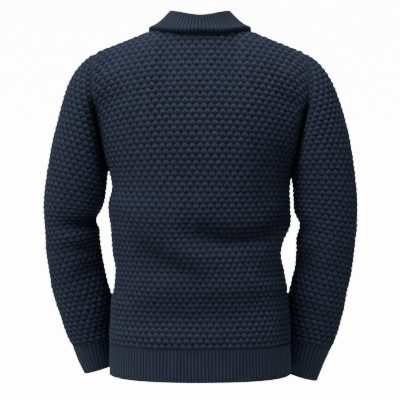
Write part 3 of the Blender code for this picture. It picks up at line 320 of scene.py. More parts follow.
# Threads: radius, height of the arch over the disc, added height of the upper one, depth of the ends
THREAD_RADIUS = 0.00055
THREAD_ARCH = 0.0018
THREAD_CROSSING = 0.0006
THREAD_FOOT = 0.0022
THREAD_STEPS = 13
THREAD_SIDES = 6

RING_SAMPLES = 241
PROFILE_SAMPLES = 121

# Bubble knit: width of a bubble, step between its offset rows, crown height, depth of the grooves
BUBBLE_PITCH = 0.0134
BUBBLE_ROW = 0.0102
BUBBLE_HEIGHT = 0.0034
GROOVE_DEPTH = 0.0004
BUBBLE_WANDER = 0.0007
# Fall of a bubble's upper edge from its middle to its sides, in rows, and its reach at a quarter
EDGE_FALL = 1.22
EDGE_REACH = 0.50
BUBBLE_SHOULDER = 0.50
BUBBLE_ROUNDNESS = 2.2
# Share of its height that a bubble keeps at its foot, and where up the bubble it rises, in rows
LOWER_CORNER = 0.40
CAP_FOOT = (-0.60, 0.05)
# Share of height lost where neighbours of a row meet, and where that begins and ends, in pitches
NECK_DIP = 0.30
NECK_REACH = (0.30, 0.50)
# Painted shade of each bubble: dark lines in the grooves over and under it in rows, then the darker tones of
# its foot and of its neck
UPPER_SHADE_LINE = 0.30
LOWER_SHADE_LINE = 0.16
FOOT_SHADE_TONE = 0.38
FOOT_REACH = (0.50, 1.15)
NECK_SHADE_TONE = 0.34
NECK_SHARE_OF_TONE = 0.75
PLAIN_TONE = 0.55
BUBBLE_BUMP = 0.0010

# Tightness of the body's knit: height, rows, columns, droop of a row at the sides
BODY_KNIT_ROWS = (
    (-0.650, 1.120, 1.110, 0.0000),
    (-0.535, 1.130, 1.100, 0.0000),
    (-0.499, 1.170, 1.085, -0.0020),
    (-0.463, 1.140, 1.075, -0.0040),
    (-0.427, 1.110, 1.065, -0.0060),
    (-0.391, 1.140, 1.050, -0.0080),
    (-0.355, 1.150, 1.030, -0.0080),
    (-0.319, 1.070, 1.010, -0.0050),
    (-0.283, 1.045, 1.000, -0.0010),
    (-0.247, 1.015, 1.000, 0.0040),
    (-0.210, 1.000, 1.000, 0.0120),
    (-0.175, 1.000, 1.000, 0.0180),
    (-0.140, 1.000, 1.000, 0.0220),
    (-0.110, 1.005, 1.000, 0.0250),
    (-0.050, 1.030, 1.000, 0.0250),
    (0.010, 1.030, 1.000, 0.0250),
)
DROOP_WIDTH = 0.190
# Height over which the body's columns run straight up, levels read below it, length kept over the shoulder
COLUMN_TOP_Z = -0.0560
COLUMN_LEVELS = 50
SHOULDER_SHARE = 0.85
# Sleeve rows for each height of the outer edge: tilt in degrees, the outer end higher, and tightness
LEFT_SLEEVE_KNIT_ROWS = (
    (-0.70, -14.0, 1.10),
    (-0.60, -12.0, 1.10),
    (-0.535, -10.0, 1.10),
    (-0.463, -13.0, 1.09),
    (-0.41, -11.0, 1.07),
    (-0.36, -2.0, 1.05),
    (-0.32, 8.0, 1.03),
    (-0.26, 13.0, 1.00),
    (-0.20, 18.0, 1.00),
    (-0.14, 20.0, 1.00),
    (-0.08, 26.0, 1.00),
    (-0.03, 32.0, 1.00),
    (0.05, 36.0, 1.00),
)
RIGHT_SLEEVE_KNIT_ROWS = (
    (-0.70, -12.0, 1.06),
    (-0.60, -12.0, 1.06),
    (-0.535, -12.0, 1.06),
    (-0.463, -14.0, 1.06),
    (-0.41, -12.0, 1.05),
    (-0.36, -8.0, 1.03),
    (-0.32, -4.0, 1.02),
    (-0.26, 0.0, 1.00),
    (-0.20, 5.0, 1.00),
    (-0.15, 14.0, 1.00),
    (-0.10, 22.0, 1.00),
    (-0.03, 30.0, 1.00),
    (0.05, 35.0, 1.00),
)
SLEEVE_COLUMN_TIGHTNESS = 1.08
# Steps past each end of a sleeve's outer edge, and halvings in the search along it
EDGE_RUN_ON = 9
HALVINGS = 26

# Distances from a seam over which the bubbles rise, ends and starts in metres
HEM_FADE = (0.0008, 0.0035)
SIDE_FADE = 0.004
ARMHOLE_FADE = 0.0085
FADE_START = 0.3
SHOULDER_FADE = (0.55 * 0.0045, 0.0045)
NECK_FADE = (0.55 * 0.0105, 0.0105)
FRONT_TOP_FADE = (0.002, 0.0045)
FRONT_EDGE_FADE = (0.001, 0.004)
SLEEVE_TOP_FADE = (0.001, 0.0045)

# Deep fold between sleeve and back, one row a side: across and up at its start, middle and end,
# half width, depth
ARMHOLE_FOLDS = (
    (0.1990, -0.1440, 0.1885, -0.1960, 0.1790, -0.2850, 0.0110, 0.0200),
    (-0.2010, -0.1420, -0.1860, -0.1950, -0.1760, -0.2850, 0.0090, 0.0130),
)
ARMHOLE_FOLD_DEPTHS = (0.0, 0.030)
# Painted shade deep in folds and painted light on ridges, multiplied into the yarn's colour, moved up a
# little so the shade lies on a fold's upper flank
FOLD_SHADE = 0.95
CREASE_SHADE_DEPTH = 0.0120
CREASE_SHADE = 0.60
SHADE_RISE = 0.0085
CREASE_LIGHT = 0.22

# Ribs: spacing, height and points across one rib
HEM_RIB_PITCH = 0.0063
HEM_TUCK = 0.0008
CUFF_RIBS = 34
BAND_RIB_PITCH = 0.0061
COLLAR_RIBS_A_SIDE = 66
RIB_RELIEF = 0.0016
COLLAR_RIB_RELIEF = 0.0015
BAND_RIB_RELIEF = 0.6 * RIB_RELIEF
CUFF_RIB_RELIEF = 0.0010
RIB_POINTS = 6
RIB_ROUNDNESS = 2.4
RIB_EDGE_ROUNDING = 0.0022
THINNEST_SHARE = 0.12
INSIDE_TONE = 0.55
# Steps in the walls near a free edge, in metres
EDGE_STEPS = np.array([0.0, 0.0005, 0.0011, 0.0018, 0.0026])
HEM_EDGE_STEPS = np.array([0.0, 0.0004, 0.0009, 0.0015, 0.0022])

# Yarns: colours of grooves, dark with painted shade, and of crowns, stitch width and height, depth of
# stitches and of fibres
KNIT_YARN = ((0.0018, 0.0022, 0.0042, 1.0), (0.0330, 0.0420, 0.0760, 1.0), 0.0024, 0.0020, 0.0007, 0.00025)
RIB_YARN = ((0.0040, 0.0052, 0.0095, 1.0), (0.0270, 0.0350, 0.0590, 1.0), 0.0030, 0.0019, 0.0006, 0.00025)
HEM_BACK_WIDTH = 0.49
HEM_FRONT_WIDTH = 0.23

# Each side's sign across and its tables
SIDES = {
    "left": (1.0, LEFT_SLEEVE_ROWS, LEFT_CUFF_ROWS, LEFT_SLEEVE_KNIT_ROWS, LEFT_SLEEVE_FOLDS,
             LEFT_BACK_CREASES, LEFT_FRONT_CREASES),
    "right": (-1.0, RIGHT_SLEEVE_ROWS, RIGHT_CUFF_ROWS, RIGHT_SLEEVE_KNIT_ROWS, RIGHT_SLEEVE_FOLDS,
              RIGHT_BACK_CREASES, RIGHT_FRONT_CREASES),
}

# Camera and light
CAMERA_DISTANCE = 2.2
CAMERA_HEIGHT = -0.3192
CAMERA_LENS = 104.2
FLOOR_Z = -1.60
WALL_DEPTH = 4.60
FRONT_WALL_DEPTH = 6.5
WALL_TOP = 4.5
COVE_RADIUS = 0.80
COVE_STEPS = 12
BOWL_SIDES = 96
# Painted glow of the backdrop, shining though it is no lamp, and where it starts and ends behind, beside and
# above the object
BACKDROP_GLOW = 12.0
FLOOR_GLOW = 0.03
GLOW_START = (3.50, 3.95)
GLOW_WIDTH = (1.30, 1.90)
GLOW_TOP = (1.00, 1.60)
WORLD_LIGHT = 0.03
# Soft boxes: name, place, size, power, colour
LIGHT_AIM = (0.0, 0.0, -0.30)
LIGHTS = (
    ("key", (2.40, 2.70, 3.20), (1.7, 1.3), 200.0, (1.0, 0.99, 0.97)),
    ("side", (2.00, 1.50, -0.40), (1.2, 1.0), 9.0, (1.0, 0.99, 0.98)),
    ("fill", (-2.20, 1.80, 0.20), (1.4, 1.4), 3.0, (0.95, 0.97, 1.0)),
    ("top", (0.15, 0.45, 3.30), (1.9, 1.6), 147.0, (1.0, 1.0, 1.0)),
)


def table_at(rows, values):
    """Smooth values of a table's columns at values of its first column."""
    rows = np.asarray(rows, dtype=float)
    keys = rows[:, 0]
    data = rows[:, 1:]
    steps = np.diff(keys)[:, None]
    slopes = np.diff(data, axis=0) / steps
    tangents = np.empty_like(data)
    tangents[1:-1] = (slopes[:-1] * steps[1:] + slopes[1:] * steps[:-1]) / (steps[:-1] + steps[1:])
    tangents[0] = slopes[0]
    tangents[-1] = slopes[-1]
    values = np.clip(np.asarray(values, dtype=float), keys[0], keys[-1])
    place = np.clip(np.searchsorted(keys, values, side="right") - 1, 0, len(keys) - 2)
    span = (keys[place + 1] - keys[place])[..., None]
    share = ((values - keys[place])[..., None]) / span
    start = (2 * share ** 3 - 3 * share ** 2 + 1) * data[place]
    start_pull = (share ** 3 - 2 * share ** 2 + share) * span * tangents[place]
    end = (3 * share ** 2 - 2 * share ** 3) * data[place + 1]
    end_pull = (share ** 3 - share ** 2) * span * tangents[place + 1]
    return start + start_pull + end + end_pull


def unit(vectors):
    """Vectors of length one."""
    return vectors / np.maximum(np.linalg.norm(vectors, axis=-1, keepdims=True), 1e-12)


def smooth_step(value, low, high):
    """A soft rise from 0 at low to 1 at high."""
    share = np.clip((value - low) / (high - low), 0.0, 1.0)
    return share * share * (3.0 - 2.0 * share)


def hermite(start, end, start_pull, end_pull, share):
    """A cubic from start to end with the given pulls."""
    share = np.asarray(share)[..., None]
    return ((2 * share ** 3 - 3 * share ** 2 + 1) * start + (share ** 3 - 2 * share ** 2 + share) * start_pull
            + (3 * share ** 2 - 2 * share ** 3) * end + (share ** 3 - share ** 2) * end_pull)


def walked_length(points):
    """Length walked along a line of points, from 0."""
    return np.concatenate([[0.0], np.cumsum(np.linalg.norm(np.diff(points, axis=0), axis=1))])


def section_line(height, side):
    """Half a body section, behind (side 1) or in front (-1): across, depth and length walked."""
    left, right, back, front = table_at(BODY_ROWS, height)
    angle = np.linspace(0.0, math.pi, RING_SAMPLES)
    power = 2.0 / BODY_SQUARENESS
    across = np.sign(np.cos(angle)) * np.abs(np.cos(angle)) ** power
    across = np.where(across > 0, across * left, across * right)
    depth = side * np.abs(np.sin(angle)) ** power * (back if side > 0 else front)
    return across, depth, walked_length(np.stack([across, depth], axis=-1))


def half_ring(height, side, shares):
    """Points of half a body section at shares of its length from the left seam to the right one."""
    across, depth, length = section_line(height, side)
    wanted = np.asarray(shares) * length[-1]
    points = np.zeros(wanted.shape + (3,))
    points[..., 0] = np.interp(wanted, length, across)
    points[..., 1] = np.interp(wanted, length, depth)
    points[..., 2] = height
    return points


def armhole_point(angle, side, hand):
    """Points of the armhole at angles in degrees from the shoulder point, behind or in front."""
    row = table_at(ARMHOLE_ROWS, angle)
    points = np.zeros(np.shape(angle) + (3,))
    points[..., 0] = hand * (row[..., 0] if side > 0 else row[..., 2])
    points[..., 1] = row[..., 1] if side > 0 else row[..., 3]
    middle = (SHOULDER_POINT[2] + UNDERARM_Z) / 2
    reach = (SHOULDER_POINT[2] - UNDERARM_Z) / 2
    points[..., 2] = middle + reach * np.cos(np.radians(angle))
    return points


def armhole_angle(share, side):
    """Angle at a share of the armhole's length, measured from the underarm up."""
    angle = np.linspace(180.0, 0.0, RING_SAMPLES)
    length = walked_length(armhole_point(angle, side, 1.0))
    return np.interp(np.asarray(share) * length[-1], length, angle)


def back_neck_point(share):
    """Points of the back neck seam, share 0 at the middle and 1 at the left neck point, -1 at the right."""
    angle = np.asarray(share) * math.pi / 2
    points = np.zeros(angle.shape + (3,))
    points[..., 0] = NECK_POINT[0] * np.sin(angle)
    points[..., 1] = NECK_POINT[1] + BACK_NECK_DEPTH * np.cos(angle)
    points[..., 2] = NECK_POINT[2] - BACK_NECK_DROP * np.cos(angle) ** 2
    return points


def shoulder_point(share, hand):
    """Points of a shoulder seam, share 0 at the neck point and 1 at the shoulder point."""
    start = np.array(NECK_POINT)
    end = np.array(SHOULDER_POINT)
    points = start + np.asarray(share)[..., None] * (end - start)
    points[..., 0] *= hand
    return points


def back_top_edge(across):
    """Top edge of the back: half the neck and one shoulder each side."""
    part = np.abs(across)
    hand = np.where(across < 0, -1.0, 1.0)
    neck = back_neck_point(np.clip(across / NECK_SHARE, -1.0, 1.0))
    seam = shoulder_point(np.clip((part - NECK_SHARE) / (1.0 - NECK_SHARE), 0.0, 1.0), 1.0)
    seam[..., 0] *= hand
    return np.where((part <= NECK_SHARE)[..., None], neck, seam)


def armhole_shift(start, lead, rows, rise, side, weight):
    """Move that brings an upper panel's edge onto the armhole, fading away from it."""
    row = table_at(rows, np.ones(rise.shape))
    pull = row[..., 3:4]
    end = np.broadcast_to(np.array(SHOULDER_POINT), start.shape)
    plain = hermite(start, end, np.array(lead) * pull, unit(row[..., :3]) * pull, rise)
    edge = armhole_point(armhole_angle(rise, side), side, 1.0)
    return (edge - plain) * (weight ** EDGE_POWER)[..., None]


def upper_back(across, rise):
    """Points of the back above the underarm, across -1 to 1 and rise 0 to 1."""
    across, rise = np.broadcast_arrays(np.asarray(across, float), np.asarray(rise, float))
    start = half_ring(UNDERARM_Z, 1, (1.0 - across) / 2)
    rows = table_at(BACK_TOP_ROWS, np.abs(across))
    pull = rows[..., 3:4]
    leave = np.array(BACK_START) * pull
    arrive = unit(rows[..., :3]) * pull
    body = hermite(start, back_top_edge(across), leave, arrive, rise)
    hand = np.where(across < 0, -1.0, 1.0)
    edge_start = half_ring(UNDERARM_Z, 1, (1.0 - hand) / 2)
    edge_start[..., 0] = np.abs(edge_start[..., 0])
    shift = armhole_shift(edge_start, BACK_START, BACK_TOP_ROWS, rise, 1, np.abs(across))
    shift[..., 0] *= hand
    return body + shift


def front_inner_share(height):
    """Shares of a front section at its middle and across half a button band."""
    across, _, length = section_line(height, -1)
    middle = np.interp(0.0, -across, length)
    return middle / length[-1], BAND_HALF_WIDTH / length[-1]


def front_section(height, part, hand):
    """Points of a front at one level, part 0 at the band and 1 at the side seam."""
    middle, band = front_inner_share(height)
    if hand > 0:
        shares = (middle - band) * (1.0 - part)
    else:
        shares = (middle + band) + (1.0 - middle - band) * part
    return half_ring(height, -1, shares)


def upper_front(part, rise, hand):
    """Points of a front above the underarm, part 0 at the neck edge and 1 at the armhole."""
    part, rise = np.broadcast_arrays(np.asarray(part, float), np.asarray(rise, float))
    mirror = np.array([hand, 1.0, 1.0])
    start = front_section(UNDERARM_Z, part, hand) * mirror
    end = shoulder_point(part, 1.0)
    rows = table_at(FRONT_TOP_ROWS, part)
    pull = rows[..., 3:4]
    lead = np.array(FRONT_START) * np.stack([1.0 - part, np.ones_like(part), np.ones_like(part)], axis=-1)
    body = hermite(start, end, lead * pull, unit(rows[..., :3]) * pull, rise)
    edge_start = front_section(UNDERARM_Z, np.ones(part.shape), hand) * mirror
    edge_lead = np.array(FRONT_START) * np.array([0.0, 1.0, 1.0])
    shift = armhole_shift(edge_start, edge_lead, FRONT_TOP_ROWS, rise, -1, part)
    return (body + shift) * mirror


def fold_offset(folds, points, rise=0.0):
    """Outward offset of the folds at points, each fold along a bent line, moved up by a rise."""
    across = points[..., 0]
    height = points[..., 2] - rise
    total = np.zeros(across.shape)
    for first_x, first_z, middle_x, middle_z, last_x, last_z, half_width, depth in folds:
        way = np.linspace(0.0, 1.0, 25)
        bend_x = 2 * middle_x - (first_x + last_x) / 2
        bend_z = 2 * middle_z - (first_z + last_z) / 2
        line_x = (1 - way) ** 2 * first_x + 2 * way * (1 - way) * bend_x + way ** 2 * last_x
        line_z = (1 - way) ** 2 * first_z + 2 * way * (1 - way) * bend_z + way ** 2 * last_z
        gaps = np.hypot(across[..., None] - line_x, height[..., None] - line_z)
        nearest = np.argmin(gaps, axis=-1)
        closeness = np.exp(-(np.min(gaps, axis=-1) / half_width) ** 2)
        strength = 0.35 + 0.65 * np.sin(math.pi * way[nearest]) ** 0.5
        total += depth * closeness * strength
    return total


def sleeve_ellipse(rows, ring, angle, hand):
    """Points of a sleeve's plain rings, angle in degrees from the outer edge towards the back."""
    row = table_at(rows, ring)
    outer_x, outer_z, inner_x, inner_z, depth, half_depth = [row[..., k] for k in range(6)]
    turn = np.radians(angle)
    points = np.zeros(np.broadcast(ring, angle).shape + (3,))
    points[..., 0] = hand * ((outer_x + inner_x) / 2 + (outer_x - inner_x) / 2 * np.cos(turn))
    points[..., 1] = depth + half_depth * np.sin(turn)
    points[..., 2] = (outer_z + inner_z) / 2 + (outer_z - inner_z) / 2 * np.cos(turn)
    return points


def sleeve_surface(rows, ring, angle, hand):
    """Points of a sleeve whose first ring is the armhole."""
    ring, angle = np.broadcast_arrays(np.asarray(ring, float), np.asarray(angle, float))
    plain = sleeve_ellipse(rows, ring, angle, hand)
    first = sleeve_ellipse(rows, np.zeros(ring.shape), angle, hand)
    turned = np.where(angle > 180.0, 360.0 - angle, angle)
    behind = armhole_point(turned, 1, hand)
    before = armhole_point(turned, -1, hand)
    hole = np.where((angle <= 180.0)[..., None], behind, before)
    fade = np.clip(1.0 - ring / ARMHOLE_FADE_RINGS, 0.0, 1.0) ** 2
    return plain + (hole - first) * fade[..., None]


def sleeve_fold_offset(folds, ring, angle):
    """Outward offset of a sleeve's folds."""
    total = np.zeros(np.broadcast(ring, angle).shape)
    for fold_ring, fold_angle, half_rings, half_angle, depth in folds:
        turn = (angle - fold_angle + 180.0) % 360.0 - 180.0
        slant = ring - fold_ring + 0.004 * turn
        total = total + depth * np.exp(-(slant / half_rings) ** 2 - (turn / half_angle) ** 2)
    return total


def grid_normals(points, closed=False):
    """Unit normals of a grid of points, rows by columns."""
    along = np.gradient(points, axis=0)
    if closed:
        around = (np.roll(points, -1, axis=1) - np.roll(points, 1, axis=1)) / 2
    else:
        around = np.gradient(points, axis=1)
    return unit(np.cross(along, around))


def facing(normals, reference):
    """Normals turned to the side of a reference direction, the same way over the whole grid."""
    score = np.sum(normals * reference)
    return normals if score >= 0 else -normals


def armhole_side_walls(shares, side, hand, rows):
    """Wall directions along half an armhole, midway between the body and the sleeve."""
    step = 0.02
    if side > 0:
        edge = upper_back(np.full(shares.shape, hand * 1.0), shares)
        beside = upper_back(np.full(shares.shape, hand * (1.0 - step)), shares)
    else:
        edge = upper_front(np.ones(shares.shape), shares, hand)
        beside = upper_front(np.full(shares.shape, 1.0 - step), shares, hand)
    angle = armhole_angle(shares, side)
    ring_angle = angle if side > 0 else 360.0 - angle
    beyond = sleeve_surface(rows, np.full(angle.shape, 0.25), ring_angle, hand)
    along = np.gradient(edge, axis=0)
    body_way = unit(np.cross(along, edge - beside))
    sleeve_way = unit(np.cross(along, beyond - edge))
    away = edge - np.array([0.0, 0.0, -0.15])
    if np.sum(body_way * away) < 0:
        body_way = -body_way
        sleeve_way = -sleeve_way
    return body_way + sleeve_way


def armhole_walls(hand, rows, shares):
    """Wall directions round an armhole at shares from 0 to 1: behind and in front."""
    behind = armhole_side_walls(shares, 1, hand, rows)
    before = armhole_side_walls(shares, -1, hand, rows)
    for end in (0, -1):
        mean = (behind[end] + before[end]) / 2
        mean[1] = 0.0
        behind[end] = mean
        before[end] = mean
    walls = []
    for mixed in (behind, before):
        size = np.maximum(np.linalg.norm(mixed, axis=-1, keepdims=True), 0.9)
        walls.append(unit(mixed) * np.minimum(2.0 / size, MITRE_LIMIT))
    return walls


def shoulder_facing(hands):
    """Wall direction along a shoulder seam, shared by the back and a front."""
    run = SHOULDER_POINT[0] - NECK_POINT[0]
    drop = NECK_POINT[2] - SHOULDER_POINT[2]
    return unit(np.stack([hands * drop, np.zeros(len(hands)), np.full(len(hands), run)], axis=-1))


def level_sideways(normals):
    """Wall directions along a side seam, without their part in depth, which both walls there share."""
    level = normals.copy()
    level[:, 1] = 0.0
    return unit(level)


def knit_noise(across, up, seed):
    """Smooth values from -1 to 1 that change over about one unit of their places."""
    table = np.random.default_rng(seed).uniform(-1.0, 1.0, (61, 61))
    across, up = np.broadcast_arrays(across, up)
    column = np.floor(across).astype(int)
    row = np.floor(up).astype(int)
    share_x = across - column
    share_y = up - row
    share_x = share_x * share_x * (3.0 - 2.0 * share_x)
    share_y = share_y * share_y * (3.0 - 2.0 * share_y)
    levels = []
    for line in (row % 61, (row + 1) % 61):
        levels.append(table[column % 61, line] * (1 - share_x) + table[(column + 1) % 61, line] * share_x)
    return levels[0] * (1 - share_y) + levels[1] * share_y


def wander(across, up):
    """Places on the knit with a hand knit's small unevenness."""
    bent = across + BUBBLE_WANDER * knit_noise(across / 0.021, up / 0.024, 3)
    raised = up + 0.8 * BUBBLE_WANDER * knit_noise(across / 0.024, up / 0.020, 4)
    return bent, raised


def bubble_relief(across, up):
    """Height of the bubbles, 0 in a groove to about 1 on a crown, at places on the knit in metres."""
    column = across / BUBBLE_PITCH
    pair = up / BUBBLE_ROW / 2
    aside = np.abs(column - np.round(column))
    off = pair - np.round(pair)
    odd = 2 * np.abs(off) > EDGE_REACH + EDGE_FALL * (0.25 - aside)
    rise = 2 * off - odd * np.sign(off)
    aside = np.where(odd, 0.5 - aside, aside)
    reach = EDGE_REACH + EDGE_FALL * (0.25 - aside)
    inward = np.clip((reach - np.abs(rise)) / BUBBLE_SHOULDER, 0.0, 1.0)
    dome = 1.0 - (1.0 - inward) ** BUBBLE_ROUNDNESS
    cap = LOWER_CORNER + (1.0 - LOWER_CORNER) * smooth_step(rise, *CAP_FOOT)
    neck = 1.0 - NECK_DIP * smooth_step(aside, *NECK_REACH)
    row = 2 * np.round(pair) + odd * np.sign(off)
    chance = np.abs(np.sin(np.round(column - 0.5 * odd) * 12.9898 + row * 78.233) * 43758.5453) % 1.0
    return dome * cap * neck * (0.86 + 0.22 * chance)


def rib_relief(count):
    """Height from 0 in a groove to 1 on a rib, at a count of ribs."""
    way = np.abs(2 * (count - np.round(count)))
    return 1.0 - way ** RIB_ROUNDNESS


def running_length(points, axis):
    """Length walked along an axis of a grid of points."""
    steps = np.linalg.norm(np.diff(points, axis=axis), axis=-1)
    total = np.cumsum(steps, axis=axis)
    pad = [(0, 0), (0, 0)]
    pad[axis] = (1, 0)
    return np.pad(total, pad)


def stitch(first, second):
    """Triangles between two rows of point numbers of different counts."""
    faces = []
    i = 0
    j = 0
    last_i = len(first) - 1
    last_j = len(second) - 1
    while i < last_i or j < last_j:
        take_first = j == last_j or (i < last_i and (i + 1) * last_j <= (j + 1) * last_i)
        if take_first:
            faces.append((first[i], first[i + 1], second[j]))
            i += 1
        else:
            faces.append((first[i], second[j + 1], second[j]))
            j += 1
    return faces


def grid_quads(rows, columns, start, closed):
    """Faces of a grid of points."""
    width = columns if closed else columns - 1
    row, column = np.meshgrid(np.arange(rows - 1), np.arange(width), indexing="ij")
    right = (column + 1) % columns
    quads = np.stack([row * columns + column, row * columns + right,
                      (row + 1) * columns + right, (row + 1) * columns + column], axis=-1)
    return (quads.reshape(-1, 4) + start).tolist()


def coarse_numbers(count, skip):
    """Numbers from 0 to the last one, about one in every skip."""
    wanted = max(int(round((count - 1) / skip)), 2) + 1
    return np.unique(np.round(np.linspace(0, count - 1, wanted)).astype(int))


def make_shell(name, outer, inner, across, up, marks, picks, material, closed=False):
    """A closed thin shell from an outer grid and the picked rows and columns of an inner one."""
    rows, columns = outer.shape[:2]
    row_pick, column_pick = picks
    coarse = inner[np.ix_(row_pick, column_pick)]
    start = rows * columns
    points = np.concatenate([outer.reshape(-1, 3), coarse.reshape(-1, 3)])
    faces = grid_quads(rows, columns, 0, closed)
    faces += grid_quads(len(row_pick), len(column_pick), start, closed)
    outer_number = np.arange(start).reshape(rows, columns)
    inner_number = start + np.arange(len(row_pick) * len(column_pick)).reshape(len(row_pick), -1)
    pairs = [(outer_number[0], inner_number[0]), (outer_number[-1], inner_number[-1])]
    if closed:
        pairs = [(np.append(one, one[0]), np.append(two, two[0])) for one, two in pairs]
    else:
        pairs.append((outer_number[:, 0], inner_number[:, 0]))
        pairs.append((outer_number[:, -1], inner_number[:, -1]))
    for one, two in pairs:
        faces += stitch(one.tolist(), two.tolist())
    mesh = bpy.data.meshes.new(name)
    mesh.from_pydata(points.tolist(), [], faces)
    turn_outward(mesh)
    places = [np.concatenate([grid[:, :columns].reshape(-1), grid[np.ix_(row_pick, column_pick)].reshape(-1)])
              for grid in (across, up)]
    write_knit_places(mesh, *places, columns, start, across[:, -1] if closed else None)
    for mark, (values, inner_value) in marks.items():
        point_values = np.concatenate([values.reshape(-1), np.full(inner_number.size, inner_value)])
        stored = mesh.attributes.new(mark, "FLOAT", "POINT")
        stored.data.foreach_set("value", point_values.astype(np.float32))
    return place_mesh(name, mesh, material)


def place_mesh(name, mesh, material):
    """A smooth object in the scene with a mesh and its material."""
    mesh.polygons.foreach_set("use_smooth", np.ones(len(mesh.polygons), dtype=bool))
    mesh.materials.append(material)
    return place_object(name, mesh)


def place_object(name, data):
    """An object in the scene with its mesh, light or lens."""
    made = bpy.data.objects.new(name, data)
    bpy.context.scene.collection.objects.link(made)
    return made


def turn_outward(mesh):
    """Turn the faces of a closed mesh outward."""
    work = bmesh.new()
    work.from_mesh(mesh)
    bmesh.ops.recalc_face_normals(work, faces=work.faces[:])
    if work.calc_volume(signed=True) < 0:
        bmesh.ops.reverse_faces(work, faces=work.faces[:])
    work.to_mesh(mesh)
    work.free()


def write_knit_places(mesh, across, up, columns, start, end_across):
    """Store each corner's place on the knit, in metres, across and up."""
    corner = np.zeros(len(mesh.loops), dtype=np.int32)
    mesh.loops.foreach_get("vertex_index", corner)
    places = np.stack([across[corner], up[corner]], axis=-1)
    if end_across is not None:
        totals = np.zeros(len(mesh.polygons), dtype=np.int32)
        mesh.polygons.foreach_get("loop_total", totals)
        owner = np.repeat(np.arange(len(totals)), totals)
        is_outer = corner < start
        column = corner % columns
        at_end = np.zeros(len(totals), dtype=bool)
        at_end[owner[is_outer & (column == columns - 1)]] = True
        wrapped = is_outer & (column == 0) & at_end[owner]
        places[wrapped, 0] = end_across[corner[wrapped] // columns]
    layer = mesh.uv_layers.new(name="knit")
    layer.data.foreach_set("uv", places.astype(np.float32).reshape(-1))


def blend_to_edge(normals, edge, distance, reach):
    """Wall directions that turn softly into those of an edge."""
    weight = smooth_step(distance, 0.0, reach)[..., None]
    return edge + (normals - edge) * weight


def body_knit_up(points):
    """Knitted length up the body at its points, longer where the rows are tighter, drooping at the sides."""
    steps = np.linspace(-0.70, 0.06, 400)
    tight = table_at(BODY_KNIT_ROWS, steps)[:, 0]
    total = np.concatenate([[0.0], np.cumsum((tight[1:] + tight[:-1]) / 2 * np.diff(steps))])
    droop = table_at(BODY_KNIT_ROWS, points[..., 2])[..., 2] * (np.abs(points[..., 0]) / DROOP_WIDTH) ** 3
    return np.interp(points[..., 2] + droop, steps, total)


def upper_across(points, low_rows, starts):
    """Length across the knit above the underarm, from each place's own level and side place."""
    upper = points[low_rows:]
    levels = np.linspace(UNDERARM_Z, COLUMN_TOP_Z, COLUMN_LEVELS)
    columns = points.shape[1]
    side = np.zeros((COLUMN_LEVELS, columns))
    depth = np.zeros((COLUMN_LEVELS, columns))
    for column in range(columns):
        heights = np.maximum.accumulate(upper[:, column, 2])
        side[:, column] = np.interp(levels, heights, upper[:, column, 0])
        depth[:, column] = np.interp(levels, heights, upper[:, column, 1])
    walked = np.cumsum(np.hypot(np.diff(side, axis=1), np.diff(depth, axis=1)), axis=1)
    walked = np.pad(walked, ((0, 0), (1, 0))) + starts(side, walked)[:, None]
    place = (np.clip(upper[..., 2], UNDERARM_Z, COLUMN_TOP_Z) - UNDERARM_Z) / (COLUMN_TOP_Z - UNDERARM_Z)
    place = place * (COLUMN_LEVELS - 1)
    found = np.zeros(place.shape)
    turn = -1.0 if side[0, 0] > side[0, -1] else 1.0
    for level in range(COLUMN_LEVELS):
        weight = np.maximum(1.0 - np.abs(place - level), 0.0)
        found += weight * np.interp(turn * upper[..., 0], turn * side[level], walked[level])
    return found


def over_shoulder(points):
    """Length to add up each column where it turns over the shoulder."""
    step = np.diff(points, axis=0)
    level = SHOULDER_SHARE * np.linalg.norm(step[..., :2], axis=-1)
    more = (step[..., 2] ** 4 + level ** 4) ** 0.25 - np.abs(step[..., 2])
    return np.pad(np.cumsum(more, axis=0), ((1, 0), (0, 0)))


def body_knit_places(plain, walked, low_rows, starts):
    """Places across and up the knit at the points of a body panel."""
    knit_across = np.broadcast_to(walked[low_rows] + starts(plain[low_rows:low_rows + 1, :, 0],
                                  walked[low_rows:low_rows + 1, 1:])[0], walked.shape).copy()
    knit_across[low_rows:] = upper_across(plain, low_rows, starts)
    knit_across = knit_across * table_at(BODY_KNIT_ROWS, plain[..., 2])[..., 1]
    knit_up = body_knit_up(plain)
    knit_up[low_rows:] += over_shoulder(plain[low_rows:])
    return knit_across, knit_up


def body_levels(step):
    """Heights of the lower rows and shares of the upper rows at about a step."""
    lower_count = int(round((UNDERARM_Z - HEM_TOP_Z) / step))
    upper_count = int(round(RISE_LENGTH / step))
    lower = np.linspace(HEM_TOP_Z + SEAM_HALF_GAP, UNDERARM_Z, lower_count + 1)
    upper = np.linspace(0.0, 1.0, upper_count + 1)[1:]
    return lower, upper


def panel_rows(lower, upper, low_point, high_point):
    """Points of a body panel, its lower rows by height and its upper ones by share of the rise."""
    rise = upper.copy()
    rise[-1] = 1.0 - SEAM_HALF_GAP / TOP_ROW_LENGTH
    return np.array([low_point(height) for height in lower] + [high_point(share) for share in rise])


def folded(middle, folds, window, side):
    """A panel's points moved by its folds, the wall directions there, and the folds' shade."""
    way = np.array([0.0, side, 0.0])
    normals = facing(grid_normals(middle), way)
    offset = fold_offset(folds, middle)
    moved = middle + normals * (offset * window)[..., None]
    return moved, facing(grid_normals(moved), way), fold_offset(folds, middle, SHADE_RISE)


def seam_fade(low_rows, rows, from_side, from_top, climbed, top_fade):
    """Share of the bubbles' height that is left near a panel's side, top and hem."""
    reach = np.where((np.arange(rows) > low_rows)[:, None], ARMHOLE_FADE, SIDE_FADE)
    fade = smooth_step(climbed, *HEM_FADE) * smooth_step(from_top, *top_fade)
    for distance in from_side:
        fade = fade * smooth_step(distance, FADE_START * reach, reach)
    return fade


